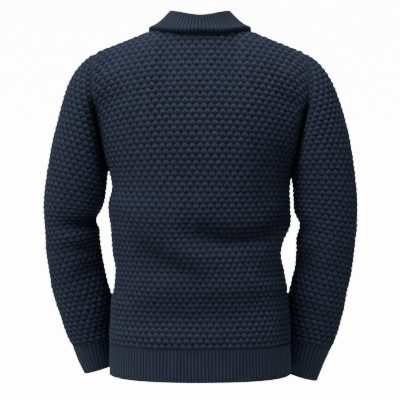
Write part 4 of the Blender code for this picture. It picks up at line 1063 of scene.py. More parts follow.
def make_back(material):
    """The back's bubble knit."""
    lower, upper = body_levels(GRID_STEP)
    count = int(round(BACK_WIDTH / GRID_STEP / 2)) * 2
    trim = 1.0 - SEAM_HALF_GAP / BACK_HALF_RUN
    across = np.linspace(trim, -trim, count + 1)
    plain = panel_rows(lower, upper, lambda height: half_ring(height, 1, (1.0 - across) / 2),
                       lambda share: upper_back(across, share))
    window = 1.0 - np.abs(across) ** FOLD_EDGE_POWER
    middle, normals, shades = folded(plain, BACK_FOLDS + BACK_CREASES, window, 1.0)

    walked = running_length(plain, 1)
    climbed = running_length(plain, 0)
    from_sides = (walked, walked[:, -1:] - walked)
    from_top = climbed[-1:] - climbed
    shares = np.concatenate([[0.0], upper])
    low_rows = len(lower) - 1
    on_shoulder = np.abs(across) >= NECK_SHARE
    top_edge = normals[-1].copy()
    top_edge[on_shoulder] = shoulder_facing(np.sign(across[on_shoulder]))
    edges = []
    for hand, rows, column in ((1.0, LEFT_SLEEVE_ROWS, 0), (-1.0, RIGHT_SLEEVE_ROWS, -1)):
        walls = armhole_walls(hand, rows, shares)[0]
        edges.append(np.concatenate([level_sideways(normals[:low_rows, column]), walls]))
    normals = blend_to_edge(normals, top_edge[None, :, :], from_top, TOP_BLEND)
    for edge, distance in zip(edges, from_sides):
        normals = blend_to_edge(normals, edge[:, None, :], distance, SIDE_BLEND)

    knit_across, knit_up = body_knit_places(plain, walked, low_rows,
                                            lambda side, length: -length[:, count // 2 - 1])
    top_fade = [np.where(on_shoulder, *pair)[None, :] for pair in zip(SHOULDER_FADE, NECK_FADE)]
    fade = seam_fade(low_rows, len(middle), from_sides, from_top, climbed, top_fade)
    return panel_shell("back_knit", middle, normals, knit_across, knit_up, fade, shades, material)


def armhole_fold(points):
    """Share of the deep fold between sleeve and back at points, and its depth there."""
    share = np.zeros(points.shape[:-1])
    depth = np.zeros(points.shape[:-1])
    for row in ARMHOLE_FOLDS:
        near = fold_offset((row[:7] + (1.0,),), points) * smooth_step(points[..., 1], *ARMHOLE_FOLD_DEPTHS)
        share = share + near
        depth = depth + near * row[7]
    return share, depth


def panel_shell(name, middle, normals, knit_across, knit_up, fade, folds, material, closed=False):
    """A bubble knit shell on its middle surface."""
    share, depth = armhole_fold(middle)
    middle = middle - depth[..., None] * np.array([0.0, 1.0, 0.0])
    knit_across, knit_up = wander(knit_across, knit_up)
    relief = bubble_relief(knit_across[:, :middle.shape[1]], knit_up[:, :middle.shape[1]])
    lift = PANEL_THICKNESS / 2 + fade * (BUBBLE_HEIGHT * relief - GROOVE_DEPTH)
    outer = middle + normals * lift[..., None]
    inner = middle - normals * PANEL_THICKNESS / 2
    picks = (coarse_numbers(middle.shape[0], INNER_SKIP), coarse_numbers(middle.shape[1], INNER_SKIP))
    # Painted shade in the deep fold between sleeve and back and in creases, painted light on ridges
    shade = 1.0 - FOLD_SHADE * np.clip(share, 0.0, 1.0)
    shade = shade * (1.0 + np.clip(folds / CREASE_SHADE_DEPTH, -CREASE_SHADE, CREASE_LIGHT))
    marks = {"shade": (shade, 1.0), "bubbles": (fade, 0.0)}
    return make_shell(name, outer, inner, knit_across, knit_up, marks, picks, material, closed)


def make_front(name, hand, sleeve_rows, material):
    """One front's bubble knit."""
    lower, upper = body_levels(GRID_STEP)
    count = int(round(FRONT_WIDTH / GRID_STEP))
    trim = SEAM_HALF_GAP / FRONT_RUN
    part = np.linspace(trim, 1.0 - trim, count + 1)
    plain = panel_rows(lower, upper, lambda height: front_section(height, part, hand),
                       lambda share: upper_front(part, share, hand))
    window = 1.0 - np.abs(2.0 * part - 1.0) ** FOLD_EDGE_POWER
    middle, normals, shades = folded(plain, FRONT_FOLDS + FRONT_CREASES, window, -1.0)

    walked = running_length(plain, 1)
    climbed = running_length(plain, 0)
    from_side = walked[:, -1:] - walked
    from_top = climbed[-1:] - climbed
    shares = np.concatenate([[0.0], upper])
    low_rows = len(lower) - 1
    side_edge = np.concatenate([level_sideways(normals[:low_rows, -1]),
                                armhole_walls(hand, sleeve_rows, shares)[1]])
    top_edge = shoulder_facing(np.full(count + 1, hand))
    normals = blend_to_edge(normals, top_edge[None, :, :], from_top, TOP_BLEND)
    normals = blend_to_edge(normals, side_edge[:, None, :], from_side, SIDE_BLEND)

    knit_across, knit_up = body_knit_places(plain, walked, low_rows,
                                            lambda side, length: np.abs(side[:, 0]) - abs(side[0, 0]))
    fade = seam_fade(low_rows, len(middle), (from_side,), from_top, climbed, FRONT_TOP_FADE)
    fade = fade * smooth_step(walked, *FRONT_EDGE_FADE)
    return panel_shell(name, middle, normals, knit_across * hand, knit_up, fade, shades, material)


def row_line_places(rows, knit_rows, across, height):
    """Length along the sleeve's outer edge of the knit row through each place in the back view."""
    ring = np.linspace(rows[0][0], rows[-1][0], 161)
    edge = table_at(rows, ring)[:, :2]
    run_on = np.arange(1.0, EDGE_RUN_ON + 1.0)[:, None]
    before = edge[0] + (edge[0] - edge[2]) * run_on[::-1]
    after = edge[-1] + (edge[-1] - edge[-3]) * run_on
    edge = np.concatenate([before, edge, after])
    length = walked_length(edge)
    length = length - length[EDGE_RUN_ON]
    knit = table_at(knit_rows, edge[:, 1])
    tilt = np.radians(knit[:, 0])
    knitted = np.concatenate([[0.0], np.cumsum((knit[1:, 1] + knit[:-1, 1]) / 2 * np.diff(length))])
    low = np.full(across.shape, length[0])
    high = np.full(across.shape, length[-1])
    for _ in range(HALVINGS):
        trial = (low + high) / 2
        turn = np.interp(trial, length, tilt)
        gap_x = across - np.interp(trial, length, edge[:, 0])
        gap_z = height - np.interp(trial, length, edge[:, 1])
        below = gap_x * np.sin(turn) - gap_z * np.cos(turn) > 0
        low = np.where(below, trial, low)
        high = np.where(below, high, trial)
    return np.interp((low + high) / 2, length, knitted)


def lengths_round(points, places, middle_column):
    """Length round the sleeve from its outer line to each point, along the knit row there."""
    levels = np.arange(places.min(), places.max(), 0.004)
    columns = points.shape[1]
    contour = np.zeros((len(levels), columns, 3))
    for column in range(columns):
        for axis in range(3):
            contour[:, column, axis] = np.interp(levels, places[:, column], points[:, column, axis])
    walked = running_length(contour, 1)
    walked = walked - walked[:, middle_column:middle_column + 1]
    result = np.zeros(places.shape)
    for column in range(columns):
        result[:, column] = np.interp(places[:, column], levels, walked[:, column])
    return result


def make_sleeve(name, rows, knit_rows, folds, back_creases, front_creases, hand, material):
    """One sleeve's bubble knit, a tube from the armhole to the cuff."""
    row_count = int(round(SLEEVE_LENGTH / SLEEVE_GRID_STEP))
    column_count = int(round(SLEEVE_ROUND / SLEEVE_GRID_STEP / 2)) * 2
    ring = np.linspace(0.0, rows[-1][0], row_count + 1)
    turn = -180.0 + 360.0 * np.arange(column_count + 1) / column_count
    turn = turn * hand
    ring_grid, turn_grid = np.meshgrid(ring, turn, indexing="ij")
    angle_grid = turn_grid % 360.0
    whole = sleeve_surface(rows, ring_grid, angle_grid, hand)
    middle = whole[:, :-1]
    angle = angle_grid[:, :-1]
    centre = middle.mean(axis=1, keepdims=True)
    normals = facing(grid_normals(middle, closed=True), middle - centre)
    behind = smooth_step(np.sin(np.radians(angle)), *CREASE_SIDE)
    before = smooth_step(-np.sin(np.radians(angle)), *CREASE_SIDE)
    offset = sleeve_fold_offset(folds, ring_grid[:, :-1], angle)
    offset = offset + behind * fold_offset(back_creases, middle) + before * fold_offset(front_creases, middle)
    offset = offset * smooth_step(ring_grid[:, :-1], 0.0, CREASE_FREE_RINGS[0])
    offset = offset * smooth_step(rows[-1][0] - ring_grid[:, :-1], 0.0, CREASE_FREE_RINGS[1])
    middle = middle + normals * offset[..., None]
    normals = facing(grid_normals(middle, closed=True), middle - centre)

    shares = np.linspace(0.0, 1.0, 61)
    back_way, front_way = armhole_walls(hand, rows, shares)
    at_angle = angle[0]
    edge = np.zeros((len(at_angle), 3))
    for axis in range(3):
        back_part = np.interp(at_angle, armhole_angle(shares[::-1], 1), back_way[::-1, axis])
        front_part = np.interp(360.0 - at_angle, armhole_angle(shares[::-1], -1), front_way[::-1, axis])
        edge[:, axis] = np.where(at_angle <= 180.0, back_part, front_part)
    climbed = running_length(middle, 0)
    normals = blend_to_edge(normals, edge[None, :, :], climbed, SIDE_BLEND)
    middle[0] = middle[0] + unit(middle[1] - middle[0]) * 2 * SEAM_HALF_GAP
    middle[-1] = middle[-1] + unit(middle[-2] - middle[-1]) * SEAM_HALF_GAP

    places = row_line_places(rows, knit_rows, hand * whole[..., 0], whole[..., 2])
    knit_across = lengths_round(whole, places, column_count // 2) * SLEEVE_COLUMN_TIGHTNESS
    knit_up = places.max() - places
    places_round = knit_across[:, :-1]
    seam = np.minimum(np.abs(places_round - knit_across[:, :1]), np.abs(knit_across[:, -1:] - places_round))
    fade = smooth_step(climbed, *SLEEVE_TOP_FADE) * smooth_step(climbed[-1:] - climbed, *HEM_FADE)
    fade = fade * smooth_step(seam, *FRONT_EDGE_FADE)
    return panel_shell(name, middle, normals, knit_across, knit_up, fade, offset, material, closed=True)


def round_edge(distance, half):
    """Share of the half thickness left at a distance from a rounded edge."""
    way = np.clip(1.0 - distance / half, 0.0, 1.0)
    return np.sqrt(np.maximum(1.0 - way ** 2, 0.0))


def rib_shell(name, middle, normals, ribs, relief_height, knit_across, knit_up, free, material, closed=False):
    """A ribbed shell on its middle surface, its free edge rounded."""
    relief = rib_relief(ribs)
    rounding = round_edge(free, RIB_EDGE_ROUNDING)
    half = RIB_THICKNESS / 2 * np.maximum(rounding, THINNEST_SHARE)
    outer = middle + normals * (half + relief_height * relief * rounding)[..., None]
    inner = middle - normals * (half + 0.5 * relief_height * (1.0 - relief) * rounding)[..., None]
    row_pick = coarse_numbers(middle.shape[0], 3)
    row_pick = np.unique(np.concatenate([row_pick, [0, 1, 2, 3]]))
    picks = (row_pick, coarse_numbers(middle.shape[1], 2))
    # The rib height, stored as the relief mark, darkens the rib grooves with painted shade
    marks = {"relief": (relief, INSIDE_TONE)}
    return make_shell(name, outer, inner, knit_across, knit_up, marks, picks, material, closed)


def make_hem(name, section, side, width, material):
    """One length of the ribbed hem under a panel."""
    ribs = int(round(width / HEM_RIB_PITCH))
    shares = np.linspace(0.0, 1.0, ribs * RIB_POINTS + 1)
    if side < 0:
        shares = shares - HEM_TUCK / width * (1.0 - shares)
    plain_levels = np.linspace(HEM_BOTTOM_Z + 0.0045, HEM_TOP_Z + SEAM_HALF_GAP, 24)
    levels = np.concatenate([HEM_BOTTOM_Z + HEM_EDGE_STEPS, plain_levels])
    middle = np.array([section(height, shares) for height in levels])
    normals = facing(grid_normals(middle), np.array([0.0, side, 0.0]))
    walked = running_length(middle, 1)
    climbed = running_length(middle, 0)
    sway = 0.10 * knit_noise(walked / 0.020, climbed / 0.022, 11) * smooth_step(climbed, 0.0, 0.01)
    count = shares[None, :] * ribs + sway
    return rib_shell(name, middle, normals, count, RIB_RELIEF, walked, climbed, climbed, material)


def make_cuff(name, rows, hand, material):
    """One ribbed cuff, open at the hand."""
    ring = np.concatenate([np.linspace(0.0, 1.9, 22), [1.93, 1.95, 1.97, 1.985, 2.0]])[::-1]
    columns = CUFF_RIBS * RIB_POINTS
    angle = np.arange(columns + 1) * 360.0 / columns
    ring_grid, angle_grid = np.meshgrid(ring, angle, indexing="ij")
    whole = sleeve_ellipse(rows, ring_grid, angle_grid, hand)
    middle = whole[:, :-1].copy()
    centre = middle.mean(axis=1, keepdims=True)
    normals = facing(grid_normals(middle, closed=True), middle - centre)
    middle[-1] = middle[-1] + unit(middle[-2] - middle[-1]) * SEAM_HALF_GAP
    climbed = running_length(whole, 0)
    walked = running_length(whole, 1)
    sway = 0.06 * knit_noise(np.cos(np.radians(angle_grid)) * 4.0, climbed / 0.02, 12)
    count = angle_grid / 360.0 * CUFF_RIBS + sway
    return rib_shell(name, middle, normals, count[:, :-1], CUFF_RIB_RELIEF, walked, climbed, climbed[:, :-1],
                     material, closed=True)


def band_section(height, place):
    """Points of the band surface at one level, place -1 to 1 from the wearer's right to the left."""
    middle, band = front_inner_share(height)
    return half_ring(height, -1, middle - band * place)


def make_band(name, hand, material):
    """One ribbed button band, lapped in front of or behind the other."""
    length = UNDERARM_Z - HEM_BOTTOM_Z
    ribs = int(round(length / BAND_RIB_PITCH))
    levels = np.linspace(HEM_BOTTOM_Z, UNDERARM_Z - SEAM_HALF_GAP, ribs * RIB_POINTS + 1)
    walk = np.concatenate([EDGE_STEPS, np.linspace(0.0050, 2 * BAND_HALF_WIDTH - SEAM_HALF_GAP, 12)])
    trim = 1.0 - SEAM_HALF_GAP / BAND_HALF_WIDTH
    places = np.clip(hand * walk / BAND_HALF_WIDTH - hand, -trim, trim)
    middle = np.array([band_section(height, places) for height in levels])
    normals = facing(grid_normals(middle), np.array([0.0, -1.0, 0.0]))
    lap = hand * BAND_LAP_STEP / 2 * (1.0 - hand * places)
    middle = middle + normals * lap[None, :, None]
    middle = np.swapaxes(middle, 0, 1)
    normals = np.swapaxes(normals, 0, 1)
    walked = running_length(middle, 1)
    climbed = running_length(middle, 0)
    drift = 0.08 * knit_noise(walked / 0.02, climbed / 0.02, 13)
    count = np.linspace(0.0, ribs, len(levels))[None, :] + drift
    return rib_shell(name, middle, normals, count, BAND_RIB_RELIEF, walked, climbed, climbed, material)


def neck_place(station, hand):
    """Point of the neck seam: up the front edge, then round the back of the neck."""
    front = upper_front(np.zeros(station.shape), np.clip(station, 0.0, 1.0), hand)
    back = back_neck_point(hand * np.clip(2.0 - station, 0.0, 1.0))
    return np.where((station <= 1.0)[..., None], front, back)


def collar_stations(count):
    """A count of evenly spaced stations from the lap to the middle of the back, and their lengths."""
    half = np.linspace(0.0, 2.0, 401)
    length = walked_length(neck_place(half, 1.0))
    wanted = np.linspace(0.0, length[-1], count + 1)
    return np.interp(wanted, length, half), wanted


def collar_profile(row, shares):
    """Place along the stand, place outward and direction of the collar strip at shares of its width."""
    width, stand, roll, bend, edge_bend = row[:5]
    fine = np.linspace(0.0, 1.0, PROFILE_SAMPLES)
    roll_end = stand + roll
    turn = bend * smooth_step(fine, stand, roll_end)
    turn = np.radians(turn + (edge_bend - bend) * smooth_step(fine, roll_end, 1.0))
    step = width / (PROFILE_SAMPLES - 1)
    middle_turn = (turn[1:] + turn[:-1]) / 2
    along, outward = (np.concatenate([[0.0], np.cumsum(part) * step])
                      for part in (np.cos(middle_turn), np.sin(middle_turn)))
    return [np.interp(shares, fine, line) for line in (along, outward, turn)]


def collar_frames(station, hand):
    """Seam points and directions into the opening and outward, of the stations of one side."""
    step = 0.02
    place = neck_place(station, 1.0)
    ahead = neck_place(np.clip(station + step, 0.0, 2.0), 1.0)
    behind = neck_place(np.clip(station - step, 0.0, 2.0), 1.0)
    way = unit(ahead - behind)
    outward = table_at(NECK_FACING_ROWS, station)
    outward = unit(outward - np.sum(outward * way, axis=-1, keepdims=True) * way)
    toward = unit(np.cross(way, outward))
    inward = table_at(NECK_INWARD_ROWS, station)
    toward = toward * np.where(np.sum(toward * inward, axis=-1, keepdims=True) < 0, -1.0, 1.0)
    mirror = np.array([hand, 1.0, 1.0])
    return place * mirror, toward * mirror, outward * mirror


def collar_side(hand, station, shares, ribs):
    """Outer and inner points of one side of the collar, the lap end first."""
    place, toward, outward = collar_frames(station, hand)
    rows = table_at(COLLAR_ROWS, station)
    lap = hand * BAND_LAP_STEP * (1.0 - smooth_step(station, LAP_FADE[0], LAP_FADE[1]))
    faces = ([], [])
    for index in range(len(station)):
        width = rows[index][0]
        lean = math.radians(rows[index][5])
        along, out, turn = collar_profile(rows[index], shares)
        along = along + COLLAR_SEAM_CLEARANCE
        along[0] = -COLLAR_TUCK
        out = out + lap[index] * along / width
        swell = COLLAR_EDGE_SWELL * smooth_step(shares, 0.80, 1.0) * smooth_step(station[index], 0.2, 0.4)
        half = RIB_THICKNESS / 2 + swell
        rounding = round_edge((1.0 - shares) * width, np.maximum(half * 1.25, 0.0018))
        stand_way = math.cos(lean) * toward[index] + math.sin(lean) * outward[index]
        out_way = -math.sin(lean) * toward[index] + math.cos(lean) * outward[index]
        for side, points in zip((-1.0, 1.0), faces):
            lift = side * (half * np.maximum(rounding, 0.08) + COLLAR_RIB_RELIEF * ribs[index] * rounding)
            p = along - np.sin(turn) * lift
            q = out + np.cos(turn) * lift
            points.append(place[index] + p[:, None] * stand_way + q[:, None] * out_way)
    return np.array(faces[0]), np.array(faces[1])


def make_collar(material):
    """The ribbed shawl collar in one piece, from lap to lap round the back of the neck."""
    count = COLLAR_RIBS_A_SIDE * RIB_POINTS
    station, length = collar_stations(count)
    station[0] = 0.0015
    shares = np.concatenate([np.linspace(0.0, 0.955, 42), [0.965, 0.975, 0.983, 0.990, 0.995, 0.998, 1.0]])
    ribs = rib_relief(np.linspace(0.0, COLLAR_RIBS_A_SIDE, count + 1))
    left = collar_side(1.0, station, shares, ribs)
    right = collar_side(-1.0, station, shares, ribs)
    outer = np.concatenate([left[0], right[0][-2::-1]])
    inner = np.concatenate([left[1], right[1][-2::-1]])
    all_ribs = np.concatenate([ribs, ribs[-2::-1]])
    knit_across = np.concatenate([length, 2 * length[-1] - length[-2::-1]])
    knit_across = np.broadcast_to(knit_across[:, None], outer.shape[:2]).copy()
    knit_up = running_length(outer, 1)
    relief = np.broadcast_to(all_ribs[:, None], outer.shape[:2]).copy()
    picks = (coarse_numbers(outer.shape[0], 2), np.arange(outer.shape[1]))
    # The rib height, stored as the relief mark, darkens the rib grooves with painted shade
    marks = {"relief": (relief, INSIDE_TONE)}
    return make_shell("collar_rib", outer, inner, knit_across, knit_up, marks, picks, material)


def button_frame(height):
    """Seat point and directions sideways, up and outward of a button on the left band."""
    low, high = band_section(height - BUTTON_RADIUS, np.array([-1.0, 1.0]))
    right, left = band_section(height, np.array([-1.0, 1.0]))
    above_right, above_left = band_section(height + BUTTON_RADIUS, np.array([-1.0, 1.0]))
    lap = np.array([0.0, -BAND_LAP_STEP, 0.0])
    sideways = unit(left - right - lap)
    upward = above_left + above_right - low - high
    upward = unit(upward - np.dot(upward, sideways) * sideways)
    outward = unit(np.cross(sideways, upward))
    if outward[1] > 0:
        outward = -outward
    place = (left + right + lap) / 2
    return place + outward * BUTTON_SEAT, sideways, upward, outward


def closed_object(name, points, faces, material):
    """A smooth closed object with outward faces."""
    mesh = bpy.data.meshes.new(name)
    mesh.from_pydata([tuple(map(float, point)) for point in points], [], faces)
    turn_outward(mesh)
    return place_mesh(name, mesh, material)


def circle(count, first, second, turn=0.0):
    """Unit directions round a circle, turned by some steps."""
    angles = [2 * math.pi * (k + turn) / count for k in range(count)]
    return [math.cos(angle) * first + math.sin(angle) * second for angle in angles]


def tube_faces(rings, sides, start=0, ends=True):
    """Faces of a tube of rings of points, with or without its two ends."""
    faces = []
    for ring in range(rings - 1):
        low = start + ring * sides
        for k in range(sides):
            after = (k + 1) % sides
            faces.append((low + k, low + after, low + sides + after, low + sides + k))
    if ends:
        faces.append(tuple(start + k for k in range(sides - 1, -1, -1)))
        faces.append(tuple(start + (rings - 1) * sides + k for k in range(sides)))
    return faces


def make_button(name, height, material):
    """One round button with a raised rim, a dish and four holes."""
    base, sideways, upward, outward = button_frame(height)
    radius = BUTTON_RADIUS
    thick = BUTTON_THICKNESS
    profile = (
        (radius * 0.90, 0.0000), (radius * 0.97, 0.0003), (radius, 0.0010), (radius, thick - 0.0010),
        (radius * 0.97, thick - 0.0003), (radius * 0.92, thick), (radius * 0.84, thick - 0.0001),
        (radius * 0.76, thick - 0.0006), (radius * 0.66, thick - 0.0011), (radius * 0.50, thick - 0.0013),
    )
    points = []
    for ring_radius, rise in profile:
        for spot in circle(BUTTON_SIDES, sideways, upward):
            points.append(base + ring_radius * spot + rise * outward)
    plate = closed_object(name, points, tube_faces(len(profile), BUTTON_SIDES), material)
    drill_holes(plate, base, sideways, upward, outward)
    shade_by_angle(plate.data)
    return plate


def drill_holes(plate, base, sideways, upward, outward):
    """Cut the four thread holes of a button."""
    points = []
    faces = []
    for across, up in ((1, 1), (1, -1), (-1, 1), (-1, -1)):
        centre = base + BUTTON_HOLE_SPACING * (across * sideways + up * upward)
        faces += tube_faces(2, HOLE_SIDES, len(points))
        for rise in (-HOLE_OVERRUN, BUTTON_THICKNESS + HOLE_OVERRUN):
            for spot in circle(HOLE_SIDES, sideways, upward, 0.5):
                points.append(centre + BUTTON_HOLE_RADIUS * spot + rise * outward)
    drill = closed_object("drill", points, faces, plate.data.materials[0])
    cut = plate.modifiers.new("holes", "BOOLEAN")
    cut.operation = "DIFFERENCE"
    cut.solver = "EXACT"
    cut.object = drill
    graph = bpy.context.evaluated_depsgraph_get()
    result = bpy.data.meshes.new_from_object(plate.evaluated_get(graph))
    plate.modifiers.clear()
    plate.data = result
    bpy.data.objects.remove(drill, do_unlink=True)


def shade_by_angle(mesh):
    """Smooth shading with sharp edges where faces meet steeply."""
    mesh.polygons.foreach_set("use_smooth", np.ones(len(mesh.polygons), dtype=bool))
    work = bmesh.new()
    work.from_mesh(mesh)
    for edge in work.edges:
        if len(edge.link_faces) == 2 and edge.calc_face_angle() > SHARP_ANGLE:
            edge.smooth = False
    work.to_mesh(mesh)
    work.free()


def make_threads(material):
    """Crossed sewing threads through the holes of every button."""
    points = []
    faces = []
    reach = BUTTON_HOLE_SPACING * math.sqrt(2.0)
    for height in BUTTON_HEIGHTS:
        base, sideways, upward, outward = button_frame(height)
        for number, slant in enumerate((1.0, -1.0)):
            faces += tube_faces(THREAD_STEPS, THREAD_SIDES, len(points))
            line = unit(sideways + slant * upward)
            beside = unit(np.cross(outward, line))
            arch = THREAD_ARCH + THREAD_CROSSING * number
            for way in np.linspace(-1.0, 1.0, THREAD_STEPS):
                rise = BUTTON_THICKNESS - THREAD_FOOT + arch * (1.0 - way ** 6)
                centre = base + way * reach * line + rise * outward
                tangent = unit(line - 6.0 * way ** 5 * arch / reach * outward)
                normal = unit(np.cross(tangent, beside))
                points += [centre + THREAD_RADIUS * spot for spot in circle(THREAD_SIDES, beside, normal)]
    return closed_object("button_threads", points, faces, material)


class Nodes:
    """Short calls for building one node material."""

    def __init__(self, name):
        self.material = bpy.data.materials.new(name)
        self.material.use_nodes = True
        self.tree = self.material.node_tree
        self.shader = self.tree.nodes["Principled BSDF"]

    def add(self, kind):
        """A new node."""
        return self.tree.nodes.new(kind)

    def join(self, source, target):
        """A link, or a value, into a socket."""
        if isinstance(source, (int, float, tuple)):
            target.default_value = source
        else:
            self.tree.links.new(source, target)

    def put(self, **sources):
        """Links or values into the shader's sockets, spaces written as underscores."""
        for socket, source in sources.items():
            self.join(source, self.shader.inputs[socket.replace("_", " ")])

    def object_place(self):
        """Places in metres on the object."""
        return self.add("ShaderNodeTexCoord").outputs["Object"]

    def axes(self, vector):
        """A vector's three parts."""
        node = self.add("ShaderNodeSeparateXYZ")
        self.join(vector, node.inputs[0])
        return node.outputs

    def bump(self, height, distance, strength, below=None):
        """A surface direction raised by a height, over another one."""
        node = self.add("ShaderNodeBump")
        node.inputs["Strength"].default_value = strength
        node.inputs["Distance"].default_value = distance
        self.join(height, node.inputs["Height"])
        if below is not None:
            self.join(below, node.inputs["Normal"])
        return node.outputs["Normal"]

    def math(self, operation, first, second=0.0, third=None):
        """A math node's result."""
        node = self.add("ShaderNodeMath")
        node.operation = operation
        self.join(first, node.inputs[0])
        self.join(second, node.inputs[1])
        if third is not None:
            self.join(third, node.inputs[2])
        return node.outputs[0]

    def noise(self, vector, scale, detail):
        """A noise texture's value."""
        node = self.add("ShaderNodeTexNoise")
        node.inputs["Scale"].default_value = scale
        node.inputs["Detail"].default_value = detail
        self.join(vector, node.inputs["Vector"])
        return node.outputs["Fac"]

    def ramp(self, value, stops):
        """A colour ramp's colour."""
        node = self.add("ShaderNodeValToRGB")
        marks = node.color_ramp.elements
        while len(marks) < len(stops):
            marks.new(0.5)
        for mark, (place, colour) in zip(marks, stops):
            mark.position = place
            mark.color = colour
        self.join(value, node.inputs["Fac"])
        return node.outputs["Color"]

    def smooth(self, value, low, high):
        """A soft step from 0 at low to 1 at high."""
        node = self.add("ShaderNodeMapRange")
        node.interpolation_type = "SMOOTHSTEP"
        node.inputs["From Min"].default_value = low
        node.inputs["From Max"].default_value = high
        self.join(value, node.inputs["Value"])
        return node.outputs["Result"]

    def blend(self, value, other, share):
        """A value moved towards another by a share."""
        return self.math("MULTIPLY_ADD", self.math("SUBTRACT", other, value), share, value)

    def mark(self, name):
        """A value stored on the piece's points."""
        node = self.add("ShaderNodeAttribute")
        node.attribute_name = name
        return node.outputs["Fac"]

    def scaled(self, colour, factor):
        """A colour multiplied by a value."""
        node = self.add("ShaderNodeVectorMath")
        node.operation = "SCALE"
        self.join(colour, node.inputs[0])
        self.join(factor, node.inputs["Scale"])
        return node.outputs[0]


def bubble_shade_tone(nodes, across, up):
    """Each bubble's painted light and shade: dark zigzag lines of painted shade in the grooves between the
    rows, palest just under the upper one, painted darker towards its foot and neck.
    """
    column = nodes.math("MULTIPLY", across, 1.0 / BUBBLE_PITCH)
    pair = nodes.math("MULTIPLY", up, 0.5 / BUBBLE_ROW)
    aside = nodes.math("ABSOLUTE", nodes.math("SUBTRACT", column, nodes.math("ROUND", column)))
    off = nodes.math("SUBTRACT", pair, nodes.math("ROUND", pair))
    twice = nodes.math("MULTIPLY", nodes.math("ABSOLUTE", off), 2.0)
    reach = nodes.math("MULTIPLY_ADD", aside, -EDGE_FALL, EDGE_REACH + 0.25 * EDGE_FALL)
    odd = nodes.math("GREATER_THAN", twice, reach)
    rise = nodes.math("MULTIPLY", off, 2.0)
    rise = nodes.math("SUBTRACT", rise, nodes.math("MULTIPLY", odd, nodes.math("SIGN", off)))
    aside = nodes.blend(aside, nodes.math("SUBTRACT", 0.5, aside), odd)
    reach = nodes.math("MULTIPLY_ADD", aside, -EDGE_FALL, EDGE_REACH + 0.25 * EDGE_FALL)
    below_top = nodes.math("SUBTRACT", reach, rise)
    above_foot = nodes.math("ADD", reach, rise)
    upper = nodes.smooth(below_top, 0.0, UPPER_SHADE_LINE)
    lower = nodes.smooth(above_foot, 0.0, LOWER_SHADE_LINE)
    tone = nodes.math("MULTIPLY", upper, lower)
    darker = nodes.math("MULTIPLY_ADD", nodes.smooth(below_top, *FOOT_REACH), FOOT_SHADE_TONE - 1.0, 1.0)
    tone = nodes.math("MULTIPLY", tone, darker)
    neck = nodes.math("MULTIPLY", nodes.smooth(aside, *NECK_REACH), NECK_SHARE_OF_TONE)
    return nodes.blend(tone, NECK_SHADE_TONE, neck)


def knit_material(name, groove, crown, wale, course, stitch_depth, fibre_depth, bubbled):
    """Matt woollen yarn: looped stitches and fibres in the bump, painted shade in grooves, folds and between
    stitch loops, painted light on ridges, a soft sheen.
    """
    nodes = Nodes(name)
    place = nodes.add("ShaderNodeUVMap")
    place.uv_map = "knit"
    place = nodes.axes(place.outputs["UV"])
    across = nodes.math("MULTIPLY", place["X"], 1.0 / wale)
    up = nodes.math("MULTIPLY", place["Y"], 1.0 / course)
    share = nodes.math("FRACT", across)
    centred = nodes.math("ABSOLUTE", nodes.math("SUBTRACT", share, 0.5))
    leg = nodes.math("MULTIPLY", centred, 2.0)
    slanted = nodes.math("FRACT", nodes.math("MULTIPLY_ADD", leg, 0.75, up))
    loop = nodes.math("SINE", nodes.math("MULTIPLY", slanted, math.pi))
    ridge = nodes.math("SINE", nodes.math("MULTIPLY", leg, math.pi))
    stitch_height = nodes.math("MULTIPLY", nodes.math("POWER", loop, 0.6), nodes.math("POWER", ridge, 0.5))

    spot = nodes.object_place()
    fibre = nodes.noise(spot, 1500.0, 3.0)
    blotch = nodes.noise(spot, 55.0, 3.0)

    # Painted shade and light: the bubbles' painted shade, faded to a plain tone near seams, times the shade
    # mark's painted fold shade and ridge light
    if bubbled:
        pattern = bubble_shade_tone(nodes, place["X"], place["Y"])
        over_plain = nodes.math("SUBTRACT", pattern, PLAIN_TONE)
        pattern = nodes.math("MULTIPLY_ADD", over_plain, nodes.mark("bubbles"), PLAIN_TONE)
        relief = nodes.math("MULTIPLY", pattern, nodes.mark("shade"))
    else:
        relief = nodes.mark("relief")
    # From the groove colour, painted shade, up to the crown colour
    tone = nodes.ramp(relief, ((0.0, groove), (1.0, crown)))
    # Darker between the stitch loops, painted shade in their hollows; fibres and blotches vary the tone at
    # random
    amount = nodes.math("MULTIPLY_ADD", stitch_height, 0.42, 0.70)
    amount = nodes.math("MULTIPLY", amount, nodes.math("MULTIPLY_ADD", fibre, 0.5, 0.75))
    amount = nodes.math("MULTIPLY", amount, nodes.math("MULTIPLY_ADD", blotch, 0.36, 0.82))

    swell = nodes.bump(pattern, BUBBLE_BUMP, 1.0) if bubbled else None
    loops = nodes.bump(stitch_height, stitch_depth, 0.85, swell)
    nodes.put(Base_Color=nodes.scaled(tone, amount), Normal=nodes.bump(fibre, fibre_depth, 0.7, loops),
              Roughness=0.92, Specular_IOR_Level=0.12, Sheen_Weight=0.05, Sheen_Roughness=0.45,
              Sheen_Tint=(0.55, 0.65, 1.0, 1.0))
    nodes.material.diffuse_color = crown
    return nodes.material


def button_material():
    """Dark horn-like plastic with faint streaks."""
    nodes = Nodes("button_plastic")
    streak = nodes.noise(nodes.object_place(), 260.0, 4.0)
    tone = nodes.ramp(streak, ((0.30, (0.006, 0.007, 0.010, 1.0)), (0.75, (0.022, 0.022, 0.028, 1.0))))
    nodes.put(Base_Color=tone, Roughness=nodes.math("MULTIPLY_ADD", streak, 0.20, 0.24),
              Normal=nodes.bump(streak, 0.0002, 0.15))
    return nodes.material


def thread_material():
    """Twisted navy sewing thread."""
    nodes = Nodes("sewing_thread")
    twist = nodes.noise(nodes.object_place(), 2400.0, 2.0)
    tone = nodes.ramp(twist, ((0.2, (0.010, 0.013, 0.025, 1.0)), (0.8, (0.035, 0.042, 0.070, 1.0))))
    nodes.put(Base_Color=tone, Roughness=0.7)
    return nodes.material


